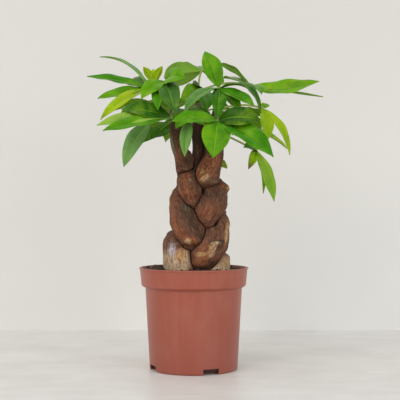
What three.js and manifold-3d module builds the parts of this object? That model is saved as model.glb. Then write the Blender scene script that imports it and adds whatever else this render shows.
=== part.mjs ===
// A potted money tree (Pachira aquatica): a nursery pot of thin plastic, potting soil, three woody stems
// braided into one trunk, and the green leafy shoots above it, each with its palmate leaves.
// Millimetres, +Z up. The origin is the centre of the pot's flat underside. The plant's front faces -Y.

import * as THREE from "three";
import { mergeVertices } from "three/addons/utils/BufferGeometryUtils.js";
import Module from "manifold-3d";

const wasm = await Module();
wasm.setup();

// Driving dimensions of the pot
const POT_HEIGHT = 111;
const RIM_RADIUS = 60;
const BAND_TOP_RADIUS = 58.8;
const BAND_FOOT_RADIUS = 57.4;
const BAND_FOOT_Z = 91.5;
const WALL_TOP_RADIUS = 53;
const WALL_FOOT_RADIUS = 48.2;
const WALL_THICKNESS = 1.3;
const BASE_THICKNESS = 1.8;
const FOOT_ROUNDING = 2.2;
const SHOULDER_HEIGHT = 2.4;
const LIP_HEIGHT = 1.8;
const LIP_BEVEL = 0.5;
const POT_SIDES = 32;

// Drain notches, cut through the corner where the wall meets the base
const NOTCH_COUNT = 4;
const NOTCH_FIRST_DEG = -157;
const NOTCH_WIDTH = 18;
const NOTCH_HEIGHT = 6.5;
const NOTCH_DEPTH = 9;

// Soil
const SOIL_EDGE_Z = 107.3;
const SOIL_CLEARANCE = 0.9;
const MOUND_HEIGHT = 2.4;
const MOUND_SPREAD = 34;
const MOUND_X = 4;
const HEAP = { x: -40, y: -6, rise: 6, spread: 9 };
const CLOD_HEIGHT = 0.9;
const CLOD_WAVES = [
  [0.31, 0.17],
  [-0.12, 0.27],
];
const SOIL_SIDES = 30;
const SOIL_RINGS = 4;

// Clearances between pieces that touch: a seat, and a crease between stems before and after its last trim.
// Slivers smaller than the slack are merged away.
const SEAT_GAP = 0.3;
const STEM_GAP = 1.6;
const CREASE_GAP = 0.4;
const FACET_SLACK = 0.08;
const WELD = 1e-4;

// The braid. Each stem is a list of knots from its foot in the soil to its top: height, centre x, centre y
// and radius.
const STEMS = {
  stem_left: [
    [84, -13, -5, 16],
    [94, -13, -7, 17],
    [108, -14, -8, 18],
    [120, -16, -5, 18],
    [129, -16, -1, 18],
    [138, -13, 4, 18],
    [146, -7, 9, 16],
    [152, 0, 7, 15],
    [159, 8, 1, 15],
    [167, 13, -5, 15],
    [176, 18, -9, 16],
    [184, 21, -7, 15],
    [192, 22, -2, 14],
    [199, 18, 3, 14],
    [206, 11, 7, 14],
    [213, 2, 5, 13],
    [222, -7, -2, 10],
    [232, -13, -8, 8],
    [244, -17, -7, 8],
    [262, -19, -4, 7],
    [276, -20.5, -3, 6.5],
  ],
  stem_centre: [
    [84, 1, 4, 14],
    [94, 3, 1, 14],
    [103, 5, -2, 14],
    [110, 8, -5, 14],
    [117, 10, -9, 16],
    [125, 14, -11, 16],
    [135, 20, -9, 16],
    [145, 23, -5, 16],
    [154, 23, 0, 16],
    [162, 19, 4, 17],
    [170, 12, 7, 16],
    [178, 2, 2, 14],
    [186, -1, -5, 11],
    [195, -4, -10, 13],
    [207, -5, -5, 13],
    [219, 0, 1, 10],
    [230, 5, 8, 9],
    [243, 7, 8, 9],
    [262, 6, 9, 8],
    [280, 6.5, 9, 7],
  ],
  stem_right: [
    [84, 22, 3, 15],
    [94, 23, 1, 16],
    [105, 22, 0, 18],
    [113, 21, 4, 18],
    [120, 17, 7, 18],
    [127, 10, 7, 17],
    [135, 2, 1, 16],
    [143, -1, -6, 16],
    [153, -5, -10, 17],
    [162, -9, -9, 16],
    [170, -11, -5, 15],
    [178, -12, 0, 15],
    [185, -11, 5, 15],
    [192, -7, 7, 14],
    [199, 0, 4, 14],
    [207, 9, -3, 14],
    [220, 17, -8, 12],
    [236, 22, -5, 11],
    [254, 20, -3, 9.5],
    [272, 20.5, -2, 8],
  ],
};
const STEM_SIDES = 14;
const STEM_STEP = 3.8;
const CREASE_ROUNDING = 2;
const MARCH_STEPS = 14;
const HALVINGS = 16;
const LEAST_REACH = 1;

// Slow lumps of the bark: rise, lobes round the stem, and height over which they turn by one radian
const LUMPS = [
  [0.35, 3, 9],
  [0.3, 2, -6],
];

// Knots and pruning scars on the bark: stem, height, bearing in degrees from +X, swelling, spread
const SCAR_RADIUS = 15;
const SCARS = [
  ["stem_left", 198.5, -12, 2.4, 4.5],
  ["stem_left", 234, 10, 4.5, 6],
  ["stem_right", 209.5, -90, 1.6, 5],
  ["stem_centre", 136, -71, 2.2, 7],
  ["stem_right", 141.5, -113, 1.4, 4],
  ["stem_centre", 208, -114, 1.2, 4],
  ["stem_left", 150, 80, 2.2, 6],
  ["stem_right", 182, 100, 2.4, 5],
];

// Green shoots on top of the stems: the stem, then knots of x, y, z, radius
const SHOOTS = {
  shoot_left: [
    [-20.5, -3, 270, 4.2],
    [-23, -5, 288, 3.6],
    [-25, -5, 303, 2.8],
  ],
  shoot_centre: [
    [6.5, 9, 274, 4.4],
    [5, 12, 293, 3.8],
    [5, 15, 312, 2.8],
  ],
  shoot_right: [
    [20.5, -2, 266, 4.4],
    [24, -5, 281, 3.8],
    [28, -6, 295, 2.8],
  ],
};

const SHOOT_SIDES = 10;
const SHOOT_STEPS = 6;

// Palmate leaves: where the petiole leaves its shoot, the point that it bends towards, the hub where its
// leaflets meet, and for each leaflet its tip x, y, z, its width, its arch as a share of its length, and its
// roll in degrees.
const LEAVES = {
  leaf_front_right: {
    from: [26, -6, 288], bend: [28, -22, 304], hub: [27, -45, 302],
    leaflets: [
      [12, -33, 343, 21, 0.06, -25],
      [70, -62, 274, 17, 0.3, 0],
      [62, -82, 280, 17, 0.03, 20],
      [49, -52, 277, 16, 0.08, 20],
      [24, -78, 267, 16, 0.12, 0],
      [-9, -84, 273, 19, 0.1, 12],
    ],
  },
  leaf_front_low: {
    from: [23, -5, 276], bend: [25, -40, 278], hub: [25, -74, 265],
    leaflets: [
      [80, -100, 227, 27, 0.1, 25],
      [20, -101, 226, 29, 0.12, 0],
      [68, -88, 265, 24, 0.12, 40],
      [-21, -95, 263, 20, 0.08, -18],
    ],
  },
  leaf_right_far: {
    from: [6, 14, 306], bend: [38, 18, 322], hub: [63, 25, 313],
    leaflets: [
      [137, -5, 315, 25, -0.09, 58],
      [147, 38, 303, 10, 0, 12],
      [74, -12, 300, 16, 0.1, 20],
      [27, 62, 344, 16, 0.06, 8],
      [34, 70, 329, 18, 0.04, -30],
    ],
  },
  leaf_right_drooping: {
    from: [21, -4, 262], bend: [42, -14, 252], hub: [67, -25, 238],
    leaflets: [
      [86, -32, 183, 15, 0.06, 40],
      [76, -10, 192, 10, 0.05, 0],
      [53, -45, 240, 13, 0.1, -20],
      [58, -38, 217, 10, 0.3, 0],
    ],
  },
  leaf_right_young: {
    from: [27, -4, 284], bend: [54, 4, 294], hub: [76, 5, 286],
    leaflets: [
      [80, -20, 250, 16, 0.08, 25],
      [105, -8, 234, 12, 0.14, 40],
      [82, 16, 292, 9, 0.05, 0],
    ],
  },
  leaf_left_far: {
    from: [-24, -3, 298], bend: [-34, 4, 312], hub: [-49, 10, 308],
    leaflets: [
      [-109, 55, 351, 10, 0.12, 10],
      [-119, 15, 323, 18, 0.03, -32],
      [-76, 50, 319, 18, 0.12, -22],
      [-104, -15, 295, 20, 0.01, -42],
      [-99, -35, 270, 17, 0.08, -38],
    ],
  },
  leaf_left_low: {
    from: [-22, -6, 282], bend: [-22, -26, 280], hub: [-23, -40, 272],
    leaflets: [
      [-100, -60, 262, 23, 0.04, -25],
      [-92, -78, 255, 21, 0.02, -26],
      [-76, -46, 280, 23, 0.06, -34],
    ],
  },
  leaf_left_hanging: {
    from: [-21, -1, 280], bend: [-36, 2, 284], hub: [-46, -2, 272],
    leaflets: [
      [-75, -25, 220, 21, 0.12, -45],
      [-72, 26, 268, 18, 0.1, 0],
      [-48, -8, 250, 14, 0.1, 0],
    ],
  },
  leaf_top: {
    from: [5, 16, 310], bend: [6, 22, 326], hub: [9, 30, 331],
    leaflets: [
      [-33, 8, 321, 27, 0.14, 55],
      [34, 46, 318, 18, 0.1, 0],
      [21, 90, 338, 18, 0.06, 0],
      [-19, 75, 343, 18, 0.05, 0],
    ],
  },
  leaf_middle: {
    from: [5, 9, 296], bend: [8, 0, 306], hub: [10, -7, 303],
    leaflets: [
      [-14, -46, 288, 23, 0.12, -38],
      [-1, -29, 309, 16, 0.06, -20],
      [14, -42, 279, 19, 0.1, 0],
      [-6, -42, 281, 16, 0.1, -10],
    ],
  },
  leaf_crown_middle: {
    from: [5.5, 9, 284], bend: [0, -6, 294], hub: [-6, -20, 281],
    leaflets: [
      [-36, -28, 260, 18, 0.02, 0],
      [-18, -46, 268, 17, 0.12, 0],
      [9, -45, 268, 17, 0.12, 0],
      [19, -24, 275, 18, 0.1, 0],
    ],
  },
  leaf_left_upper: {
    from: [-25, -7, 300], bend: [-28, -14, 312], hub: [-30, -20, 312],
    leaflets: [
      [-8, -52, 312, 22, 0.15, 34],
      [-18, -63, 274, 22, 0.12, 0],
      [-37, -52, 278, 16, 0.12, 0],
      [-55, -45, 291, 20, 0.12, -30],
    ],
  },
  leaf_left_tuft: {
    from: [-25, -4, 302], bend: [-36, -4, 312], hub: [-43, -5, 313],
    leaflets: [
      [-55, -10, 330, 9, 0.05, 30],
      [-34, -7, 331, 10, 0.05, -50],
      [-45, 8, 330, 9, 0.05, 20],
      [-50, -24, 303, 14, 0.1, -30],
      [-37, -23, 305, 12, 0.1, 0],
    ],
  },
  leaf_front_small: {
    from: [-18, -6, 274], bend: [-6, -26, 276], hub: [-4, -45, 270],
    leaflets: [
      [-9, -63, 229, 13, 0.12, 0],
      [-18, -68, 258, 13, 0.1, -15],
      [12, -62, 262, 13, 0.1, 15],
    ],
  },
  leaf_back_left: {
    from: [-22, 0, 290], bend: [-38, 28, 304], hub: [-50, 46, 298],
    leaflets: [
      [-108, 58, 280, 22, 0.1, 0],
      [-88, 94, 276, 22, 0.1, 0],
      [-46, 108, 276, 22, 0.1, 0],
      [-12, 90, 280, 20, 0.1, 0],
    ],
  },
  leaf_back: {
    from: [6, 14, 288], bend: [0, 44, 306], hub: [-4, 64, 300],
    leaflets: [
      [-30, 118, 292, 22, 0.1, 0],
      [8, 126, 288, 23, 0.1, 0],
      [44, 100, 292, 21, 0.1, 0],
    ],
  },
  leaf_back_right: {
    from: [8, 12, 282], bend: [32, 36, 294], hub: [46, 52, 284],
    leaflets: [
      [86, 58, 280, 22, 0.1, 0],
      [80, 96, 264, 22, 0.1, 0],
      [46, 112, 264, 22, 0.1, 0],
      [10, 94, 268, 20, 0.1, 0],
    ],
  },
  leaf_right_low: {
    from: [24, 0, 272], bend: [46, 20, 274], hub: [64, 30, 264],
    leaflets: [
      [105, 25, 243, 16, 0.08, 25],
      [86, 66, 255, 20, 0.1, 0],
      [61, 84, 256, 20, 0.1, 0],
    ],
  },
  leaf_left_shaded: {
    from: [-21, 0, 276], bend: [-18, 18, 280], hub: [-14, 26, 270],
    leaflets: [
      [-57, 12, 249, 24, 0.03, -48],
      [-66, 48, 254, 21, 0.1, 0],
      [-34, 78, 254, 20, 0.1, 0],
      [10, 74, 252, 18, 0.1, 0],
    ],
  },
};
const PETIOLE_RADIUS = 1.3;
const PETIOLE_SIDES = 6;
const PETIOLE_STEPS = 3;
const HUB_RADIUS = 2.3;
const HUB_SIDES = 6;
const HUB_BANDS = 4;
const BLADE_THICKNESS = 0.8;
const BLADE_TURNED_SIDES = [0, 5];
const BLADE_FOLD_DEG = 14;
const BLADE_STATIONS = [0, 0.13, 0.36, 0.66, 0.9, 1];
const BLADE_OUTLINE = { root: 0.9, tip: 1.05, lean: 0.4, peak: 0.3106 };
const BLADE_ROOT_HALF_WIDTH = 0.9;
const BLADE_ROOT_FADE = 6;
const BLADE_TIP_HALF_WIDTH = 0.4;
const LEAN_OUT = 0.5;

// Materials
const plastic = new THREE.MeshStandardMaterial({ color: 0xa65643, roughness: 0.55, metalness: 0 });
const earth = new THREE.MeshStandardMaterial({ color: 0x2b1d17, roughness: 1, metalness: 0 });
const bark = new THREE.MeshStandardMaterial({ color: 0x6b4636, roughness: 0.85, metalness: 0 });
const leafGreen = new THREE.MeshStandardMaterial({ color: 0x3f8f16, roughness: 0.45, metalness: 0 });
const shootGreen = new THREE.MeshStandardMaterial({ color: 0x6f8f35, roughness: 0.6, metalness: 0 });

const radians = THREE.MathUtils.degToRad;
const vector = (point) => new THREE.Vector3(...point);

// A closed geometry as a manifold-3d solid.
function solidOf(geometry) {
  const bare = geometry.clone();
  bare.deleteAttribute("normal");
  bare.deleteAttribute("uv");
  const merged = mergeVertices(bare, WELD);
  return new wasm.Manifold(
    new wasm.Mesh({
      numProp: 3,
      vertProperties: merged.attributes.position.array,
      triVerts: new Uint32Array(merged.index.array),
    }),
  );
}

// A solid as a named mesh. Scraps that a cut leaves loose are dropped, and slivers along the cuts are merged.
function meshOf(solid, name, material) {
  const whole = solid.decompose().sort((a, b) => b.volume() - a.volume())[0].simplify(FACET_SLACK);
  const mesh = whole.getMesh();
  const geometry = new THREE.BufferGeometry();
  geometry.setAttribute("position", new THREE.BufferAttribute(mesh.vertProperties, mesh.numProp));
  geometry.setIndex(new THREE.BufferAttribute(mesh.triVerts, 1));
  const made = new THREE.Mesh(geometry, material);
  made.name = name;
  return made;
}

// A closed skin through a stack of rings, each with the same number of points, with flat ends.
// Sides listed in turned take the other diagonal, so that both faces of a thin blade are split alike.
function skin(rings, turned = []) {
  const sides = rings[0].length;
  const positions = rings.flat().flatMap((p) => [p.x, p.y, p.z]);
  const faces = [];
  for (let i = 0; i + 1 < rings.length; i++) {
    for (let k = 0; k < sides; k++) {
      const a = i * sides + k;
      const b = i * sides + ((k + 1) % sides);
      const c = b + sides;
      const d = a + sides;
      if (turned.includes(k)) faces.push(a, b, d, b, c, d);
      else faces.push(a, b, c, a, c, d);
    }
  }
  const last = (rings.length - 1) * sides;
  for (let k = 1; k + 1 < sides; k++) {
    faces.push(0, k + 1, k, last, last + k, last + k + 1);
  }
  const geometry = new THREE.BufferGeometry();
  geometry.setAttribute("position", new THREE.Float32BufferAttribute(positions, 3));
  geometry.setIndex(faces);
  return geometry;
}

// Smooth value and slope of one column of a knot list at a height, by cubic Hermite spans.
function alongKnots(knots, column, z) {
  const last = knots.length - 1;
  const slope = (i) => {
    const low = knots[Math.max(i - 1, 0)];
    const high = knots[Math.min(i + 1, last)];
    return (high[column] - low[column]) / (high[0] - low[0]);
  };
  let i = 0;
  while (i < last - 1 && z > knots[i + 1][0]) i++;
  const span = knots[i + 1][0] - knots[i][0];
  const t = THREE.MathUtils.clamp((z - knots[i][0]) / span, 0, 1);
  const p = knots[i][column];
  const q = knots[i + 1][column];
  const m = slope(i) * span;
  const n = slope(i + 1) * span;
  const value =
    (2 * t ** 3 - 3 * t ** 2 + 1) * p + (t ** 3 - 2 * t ** 2 + t) * m +
    (3 * t ** 2 - 2 * t ** 3) * q + (t ** 3 - t ** 2) * n;
  const rate =
    ((6 * t ** 2 - 6 * t) * (p - q) + (3 * t ** 2 - 4 * t + 1) * m + (3 * t ** 2 - 2 * t) * n) / span;
  return [value, rate];
}

// A stem at a height: its centre, its direction and its radius.
function stemAt(name, z) {
  const knots = STEMS[name];
  const [x, dx] = alongKnots(knots, 1, z);
  const [y, dy] = alongKnots(knots, 2, z);
  const [radius] = alongKnots(knots, 3, z);
  return { centre: new THREE.Vector3(x, y, z), along: new THREE.Vector3(dx, dy, 1).normalize(), radius };
}

// How far a point lies outside a stem's round bark: its distance from the stem's line, less the radius.
function outside(point, stem) {
  return point.clone().sub(stem.centre).cross(stem.along).length() - stem.radius;
}

// The swelling that scars and slow lumps add to a stem's radius at a height and bearing.
function swelling(name, z, bearing) {
  let total = 0;
  for (const [rise, lobes, pitch] of LUMPS) total += rise * Math.sin(lobes * bearing + z / pitch);
  for (const [stem, height, degrees, rise, spread] of SCARS) {
    if (stem !== name) continue;
    const turn = THREE.MathUtils.euclideanModulo(bearing - radians(degrees) + Math.PI, 2 * Math.PI) - Math.PI;
    const across = (turn * SCAR_RADIUS) / spread;
    const up = (z - height) / spread;
    total += rise * Math.exp(-across * across - up * up);
  }
  return total;
}

// One stem of the braid as a stack of level sections. Where two stems press together each stops at the
// surface midway between them, so they lie against each other in a crease, as grown-together braids do.
// spread grows the section, for the room that the stem takes out of its surroundings.
function stemSolid(name, spread = 0) {
  const knots = STEMS[name];
  const foot = knots[0][0];
  const top = knots[knots.length - 1][0];
  const steps = Math.round((top - foot) / STEM_STEP);
  const others = Object.keys(STEMS).filter((other) => other !== name);
  const rings = [];
  for (let i = 0; i <= steps; i++) {
    const z = foot + ((top - foot) * i) / steps;
    const own = stemAt(name, z);
    const beside = others.map((other) => stemAt(other, z));
    const ring = [];
    for (let k = 0; k < STEM_SIDES; k++) {
      const bearing = (2 * Math.PI * k) / STEM_SIDES;
      const out = new THREE.Vector3(Math.cos(bearing), Math.sin(bearing), 0);
      const slant = Math.sqrt(1 - out.dot(own.along) ** 2);
      let reach = (own.radius + swelling(name, z, bearing)) / slant;
      for (const neighbour of beside) {
        const crowd = (r) => {
          const point = own.centre.clone().addScaledVector(out, r);
          return outside(point, own) - outside(point, neighbour) + STEM_GAP;
        };
        reach = softMin(reach, firstRise(crowd, reach + CREASE_ROUNDING), CREASE_ROUNDING);
      }
      ring.push(own.centre.clone().addScaledVector(out, Math.max(reach, LEAST_REACH) + spread));
    }
    rings.push(ring);
  }
  for (const point of rings[0]) point.z -= spread;
  return solidOf(skin(rings));
}

// The least length at which a function rises above zero, or a length past the limit if it doesn't before it.
function firstRise(rises, limit) {
  let step = 1;
  while (step <= MARCH_STEPS && rises((limit * step) / MARCH_STEPS) <= 0) step++;
  if (step > MARCH_STEPS) return 2 * limit;
  let low = (limit * (step - 1)) / MARCH_STEPS;
  let high = (limit * step) / MARCH_STEPS;
  for (let n = 0; n < HALVINGS; n++) {
    const middle = (low + high) / 2;
    if (rises(middle) > 0) high = middle;
    else low = middle;
  }
  return low;
}

// The lesser of two lengths, rounded off where they are nearly alike.
function softMin(a, b, rounding) {
  const share = THREE.MathUtils.clamp(0.5 + (b - a) / (2 * rounding), 0, 1);
  return b * (1 - share) + a * share - (rounding / 2) * share * (1 - share);
}

// A direction that no shoot or petiole runs along, to start a tube's section from
const TUBE_HINT = new THREE.Vector3(0.31, 0.95, 0.05);

// A tube of round section along points, with a radius at each.
function tube(points, radii, sides) {
  const rings = points.map((point, i) => {
    const before = points[Math.max(i - 1, 0)];
    const after = points[Math.min(i + 1, points.length - 1)];
    const along = after.clone().sub(before).normalize();
    const side = TUBE_HINT.clone().cross(along).normalize();
    const up = along.clone().cross(side);
    return Array.from({ length: sides }, (_, k) => {
      const turn = (2 * Math.PI * k) / sides;
      const across = side.clone().multiplyScalar(radii[i] * Math.cos(turn));
      return point.clone().add(across).addScaledVector(up, radii[i] * Math.sin(turn));
    });
  });
  return solidOf(skin(rings));
}

// A leaf's stalk, along a curve from its shoot to its hub.
function petioleSolid(leaf, radius) {
  const [from, bend, hub] = [leaf.from, leaf.bend, leaf.hub].map(vector);
  const points = new THREE.QuadraticBezierCurve3(from, bend, hub).getPoints(PETIOLE_STEPS);
  return tube(points, points.map(() => radius), PETIOLE_SIDES);
}

// A leaflet: a folded blade, pointed at the tip and narrow at the root, arched along its length.
function leafletSolid(hub, [x, y, z, width, arch, roll]) {
  const root = vector(hub);
  const tip = new THREE.Vector3(x, y, z);
  const chord = tip.clone().sub(root);
  const length = chord.length();
  const along = chord.clone().normalize();
  const outwards = new THREE.Vector3(root.x + tip.x, root.y + tip.y, 0).normalize();
  const face = new THREE.Vector3(0, 0, 1).addScaledVector(outwards, LEAN_OUT);
  face.addScaledVector(along, -face.dot(along)).normalize().applyAxisAngle(along, radians(roll));
  const side = along.clone().cross(face);
  const control = root.clone().add(tip).multiplyScalar(0.5).addScaledVector(face, 2 * arch * length);
  const rib = new THREE.QuadraticBezierCurve3(root, control, tip);
  const rings = BLADE_STATIONS.map((t) => {
    const point = rib.getPoint(t);
    const normal = side.clone().cross(rib.getTangent(t)).normalize();
    const reach = halfWidth(t, width);
    const lift = reach * Math.tan(radians(BLADE_FOLD_DEG));
    const place = (across, up) => point.clone().addScaledVector(side, across).addScaledVector(normal, up);
    const half = BLADE_THICKNESS / 2;
    return [
      place(0, half),
      place(reach, lift + half),
      place(reach, lift - half),
      place(0, -half),
      place(-reach, lift - half),
      place(-reach, lift + half),
    ];
  });
  return solidOf(skin(rings, BLADE_TURNED_SIDES));
}

// Half of a leaflet's width at a share of its length: widest a little past the middle, drawn out to a point.
function halfWidth(t, width) {
  const { root, tip, lean, peak } = BLADE_OUTLINE;
  const blade = ((width / 2) * t ** root * (1 - t) ** tip * (1 + lean * t)) / peak;
  const stalk = BLADE_ROOT_HALF_WIDTH * (1 - t) ** BLADE_ROOT_FADE;
  return Math.max(blade, stalk, BLADE_TIP_HALF_WIDTH);
}

// A whole palmate leaf: petiole, hub and leaflets in one body.
function leafSolid(leaf) {
  let solid = petioleSolid(leaf, PETIOLE_RADIUS);
  const hub = new THREE.SphereGeometry(HUB_RADIUS, HUB_SIDES, HUB_BANDS).translate(...leaf.hub);
  solid = solid.add(solidOf(hub));
  for (const leaflet of leaf.leaflets) solid = solid.add(leafletSolid(leaf.hub, leaflet));
  return solid;
}

// A green shoot through its knots. spread grows it, for the socket that it stands in.
function shootSolid(knots, spread = 0) {
  const curve = new THREE.CatmullRomCurve3(knots.map(([x, y, z]) => new THREE.Vector3(x, y, z)));
  const points = curve.getPoints(SHOOT_STEPS);
  const radii = points.map((_, i) => {
    const share = (i / (points.length - 1)) * (knots.length - 1);
    const low = Math.min(Math.floor(share), knots.length - 2);
    return THREE.MathUtils.lerp(knots[low][3], knots[low + 1][3], share - low) + spread;
  });
  return tube(points, radii, SHOOT_SIDES);
}

// The pot: a thin wall turned round the axis, with a deep rim band, a lip and corner drain notches.
function potSolid() {
  const inner = (radius) => radius - WALL_THICKNESS;
  const shoulder = BAND_FOOT_Z - SHOULDER_HEIGHT;
  const profile = [
    [0, 0],
    [WALL_FOOT_RADIUS - FOOT_ROUNDING, 0],
    [WALL_FOOT_RADIUS - FOOT_ROUNDING / 4, FOOT_ROUNDING / 4],
    [WALL_FOOT_RADIUS, FOOT_ROUNDING],
    [WALL_TOP_RADIUS, shoulder],
    [BAND_FOOT_RADIUS - LIP_BEVEL, BAND_FOOT_Z],
    [BAND_FOOT_RADIUS, BAND_FOOT_Z + LIP_BEVEL],
    [BAND_TOP_RADIUS, POT_HEIGHT - LIP_HEIGHT - LIP_BEVEL],
    [RIM_RADIUS, POT_HEIGHT - LIP_HEIGHT],
    [RIM_RADIUS, POT_HEIGHT - LIP_BEVEL],
    [RIM_RADIUS - LIP_BEVEL, POT_HEIGHT],
    [inner(BAND_TOP_RADIUS) + LIP_BEVEL, POT_HEIGHT],
    [inner(BAND_TOP_RADIUS), POT_HEIGHT - LIP_BEVEL],
    [inner(BAND_FOOT_RADIUS), BAND_FOOT_Z + 2 * LIP_BEVEL],
    [inner(WALL_TOP_RADIUS), shoulder + LIP_BEVEL],
    [inner(WALL_FOOT_RADIUS), BASE_THICKNESS + FOOT_ROUNDING / 2],
    [inner(WALL_FOOT_RADIUS) - FOOT_ROUNDING / 2, BASE_THICKNESS],
    [0, BASE_THICKNESS],
  ];
  const lathe = new THREE.LatheGeometry(profile.map(([r, z]) => new THREE.Vector2(r, z)), POT_SIDES);
  let pot = solidOf(lathe.rotateX(Math.PI / 2));
  for (let i = 0; i < NOTCH_COUNT; i++) {
    const notch = new THREE.BoxGeometry(2 * NOTCH_DEPTH, NOTCH_WIDTH, 2 * NOTCH_HEIGHT);
    notch.translate(WALL_FOOT_RADIUS, 0, 0);
    notch.rotateZ(radians(NOTCH_FIRST_DEG + (i * 360) / NOTCH_COUNT));
    pot = pot.subtract(solidOf(notch));
  }
  return pot;
}

// Height of the soil's surface at a point: a low mound round the trunk, a heap beside it, and clods.
function soilHeight(x, y) {
  const mound = Math.exp(-(((x - MOUND_X) ** 2 + y ** 2) / MOUND_SPREAD ** 2));
  const heap = Math.exp(-(((x - HEAP.x) ** 2 + (y - HEAP.y) ** 2) / HEAP.spread ** 2));
  const [one, two] = CLOD_WAVES.map(([a, b]) => a * x + b * y);
  return SOIL_EDGE_Z + MOUND_HEIGHT * mound + HEAP.rise * heap + CLOD_HEIGHT * Math.sin(one) * Math.cos(two);
}

// The soil: it fills the pot to just under the rim, stepped out where the wall widens into the rim band, and
// the stems stand in plain holes in it.
function soilSolid() {
  const clear = WALL_THICKNESS + SOIL_CLEARANCE;
  const levels = [
    [BASE_THICKNESS + SEAT_GAP, WALL_FOOT_RADIUS - clear - FOOT_ROUNDING],
    [BASE_THICKNESS + 2 * FOOT_ROUNDING, WALL_FOOT_RADIUS - clear],
    [BAND_FOOT_Z + LIP_BEVEL, WALL_TOP_RADIUS - clear],
    [BAND_FOOT_Z + SHOULDER_HEIGHT, BAND_FOOT_RADIUS - clear],
  ];
  const around = (radius, height) =>
    Array.from({ length: SOIL_SIDES }, (_, k) => {
      const turn = (2 * Math.PI * k) / SOIL_SIDES;
      const x = radius * Math.cos(turn);
      const y = radius * Math.sin(turn);
      return new THREE.Vector3(x, y, height(x, y));
    });
  const rings = levels.map(([z, radius]) => around(radius, () => z));
  const edge = BAND_FOOT_RADIUS - clear + SEAT_GAP;
  for (let i = SOIL_RINGS; i >= 1; i--) rings.push(around((edge * i) / SOIL_RINGS, soilHeight));
  let soil = solidOf(skin(rings));
  for (const name of Object.keys(STEMS)) soil = soil.subtract(stemSolid(name, SEAT_GAP));
  return soil;
}

const plant = new THREE.Group();
plant.add(meshOf(potSolid(), "pot", plastic));
plant.add(meshOf(soilSolid(), "soil", earth));

const petioleHoles = Object.values(LEAVES).map((leaf) => petioleSolid(leaf, PETIOLE_RADIUS + SEAT_GAP));
const shootOnStem = { stem_centre: "shoot_centre", stem_left: "shoot_left", stem_right: "shoot_right" };
const pressed = [];
for (const [stem, shoot] of Object.entries(shootOnStem)) {
  let wood = stemSolid(stem).subtract(shootSolid(SHOOTS[shoot], SEAT_GAP));
  for (const taken of [...pressed, ...petioleHoles]) wood = wood.subtract(taken);
  pressed.push(stemSolid(stem, CREASE_GAP));
  plant.add(meshOf(wood, stem, bark));
}
for (const [name, knots] of Object.entries(SHOOTS)) {
  let shoot = shootSolid(knots);
  for (const hole of petioleHoles) shoot = shoot.subtract(hole);
  plant.add(meshOf(shoot, name, shootGreen));
}
for (const [name, leaf] of Object.entries(LEAVES)) plant.add(meshOf(leafSolid(leaf), name, leafGreen));

export default plant;
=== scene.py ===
"""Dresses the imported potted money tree: pot, soil, braided trunk, shoots and leaves, on a plain pale floor.

Shapes are worked out in millimetres, in the frame's axes, and put into the meshes in metres.
"""

import logging
import math
from dataclasses import dataclass
from enum import Enum
from typing import Callable, Union

import bpy
import numpy as np
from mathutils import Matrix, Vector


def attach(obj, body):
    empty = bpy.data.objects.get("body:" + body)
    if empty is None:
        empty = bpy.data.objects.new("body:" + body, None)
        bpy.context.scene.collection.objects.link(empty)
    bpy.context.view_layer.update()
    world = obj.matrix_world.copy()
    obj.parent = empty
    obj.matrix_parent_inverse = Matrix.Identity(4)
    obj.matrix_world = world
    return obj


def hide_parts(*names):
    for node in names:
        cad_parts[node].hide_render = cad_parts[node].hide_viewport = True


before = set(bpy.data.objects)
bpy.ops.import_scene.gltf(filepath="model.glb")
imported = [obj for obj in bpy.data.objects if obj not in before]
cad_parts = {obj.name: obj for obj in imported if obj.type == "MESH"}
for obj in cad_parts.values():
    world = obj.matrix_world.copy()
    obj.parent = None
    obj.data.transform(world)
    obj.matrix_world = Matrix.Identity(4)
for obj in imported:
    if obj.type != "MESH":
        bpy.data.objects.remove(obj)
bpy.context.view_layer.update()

log = logging.getLogger("money_tree")

Array = np.ndarray
Point = tuple[float, float, float]
Colour = tuple[float, float, float]
Spot = Union[Array, Point]
MM = 0.001
TAU = 2 * math.pi
UP = np.array([0.0, 0.0, 1.0])
TUBE_HINT = np.array([0.31, 0.95, 0.05])
NOISE_CELLS = 257
LAST_LATITUDE = 0.48 * math.pi


# Numbers on grids


def unit(vectors: Array) -> Array:
    """Vectors divided by their own lengths."""
    return vectors / np.linalg.norm(vectors, axis=-1, keepdims=True)


def smooth_step(low: float, high: float, value: Array) -> Array:
    """0 below low, 1 above high, and 3t^2 - 2t^3 between, where t is the share of the way."""
    t = np.clip((value - low) / (high - low), 0, 1)
    return t * t * (3 - 2 * t)


def soft_min(a: Array, b: Array, rounding: float) -> Array:
    """The lesser of two lengths, less a parabola of the rounding's size where they are nearly alike."""
    share = np.clip(0.5 + (b - a) / (2 * rounding), 0, 1)
    return b * (1 - share) + a * share - (rounding / 2) * share * (1 - share)


def bell(away: Array, width: float) -> Array:
    """A smooth bump: 1 in the middle, e^-1 at its width."""
    return np.exp(-((away / width) ** 2))


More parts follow.
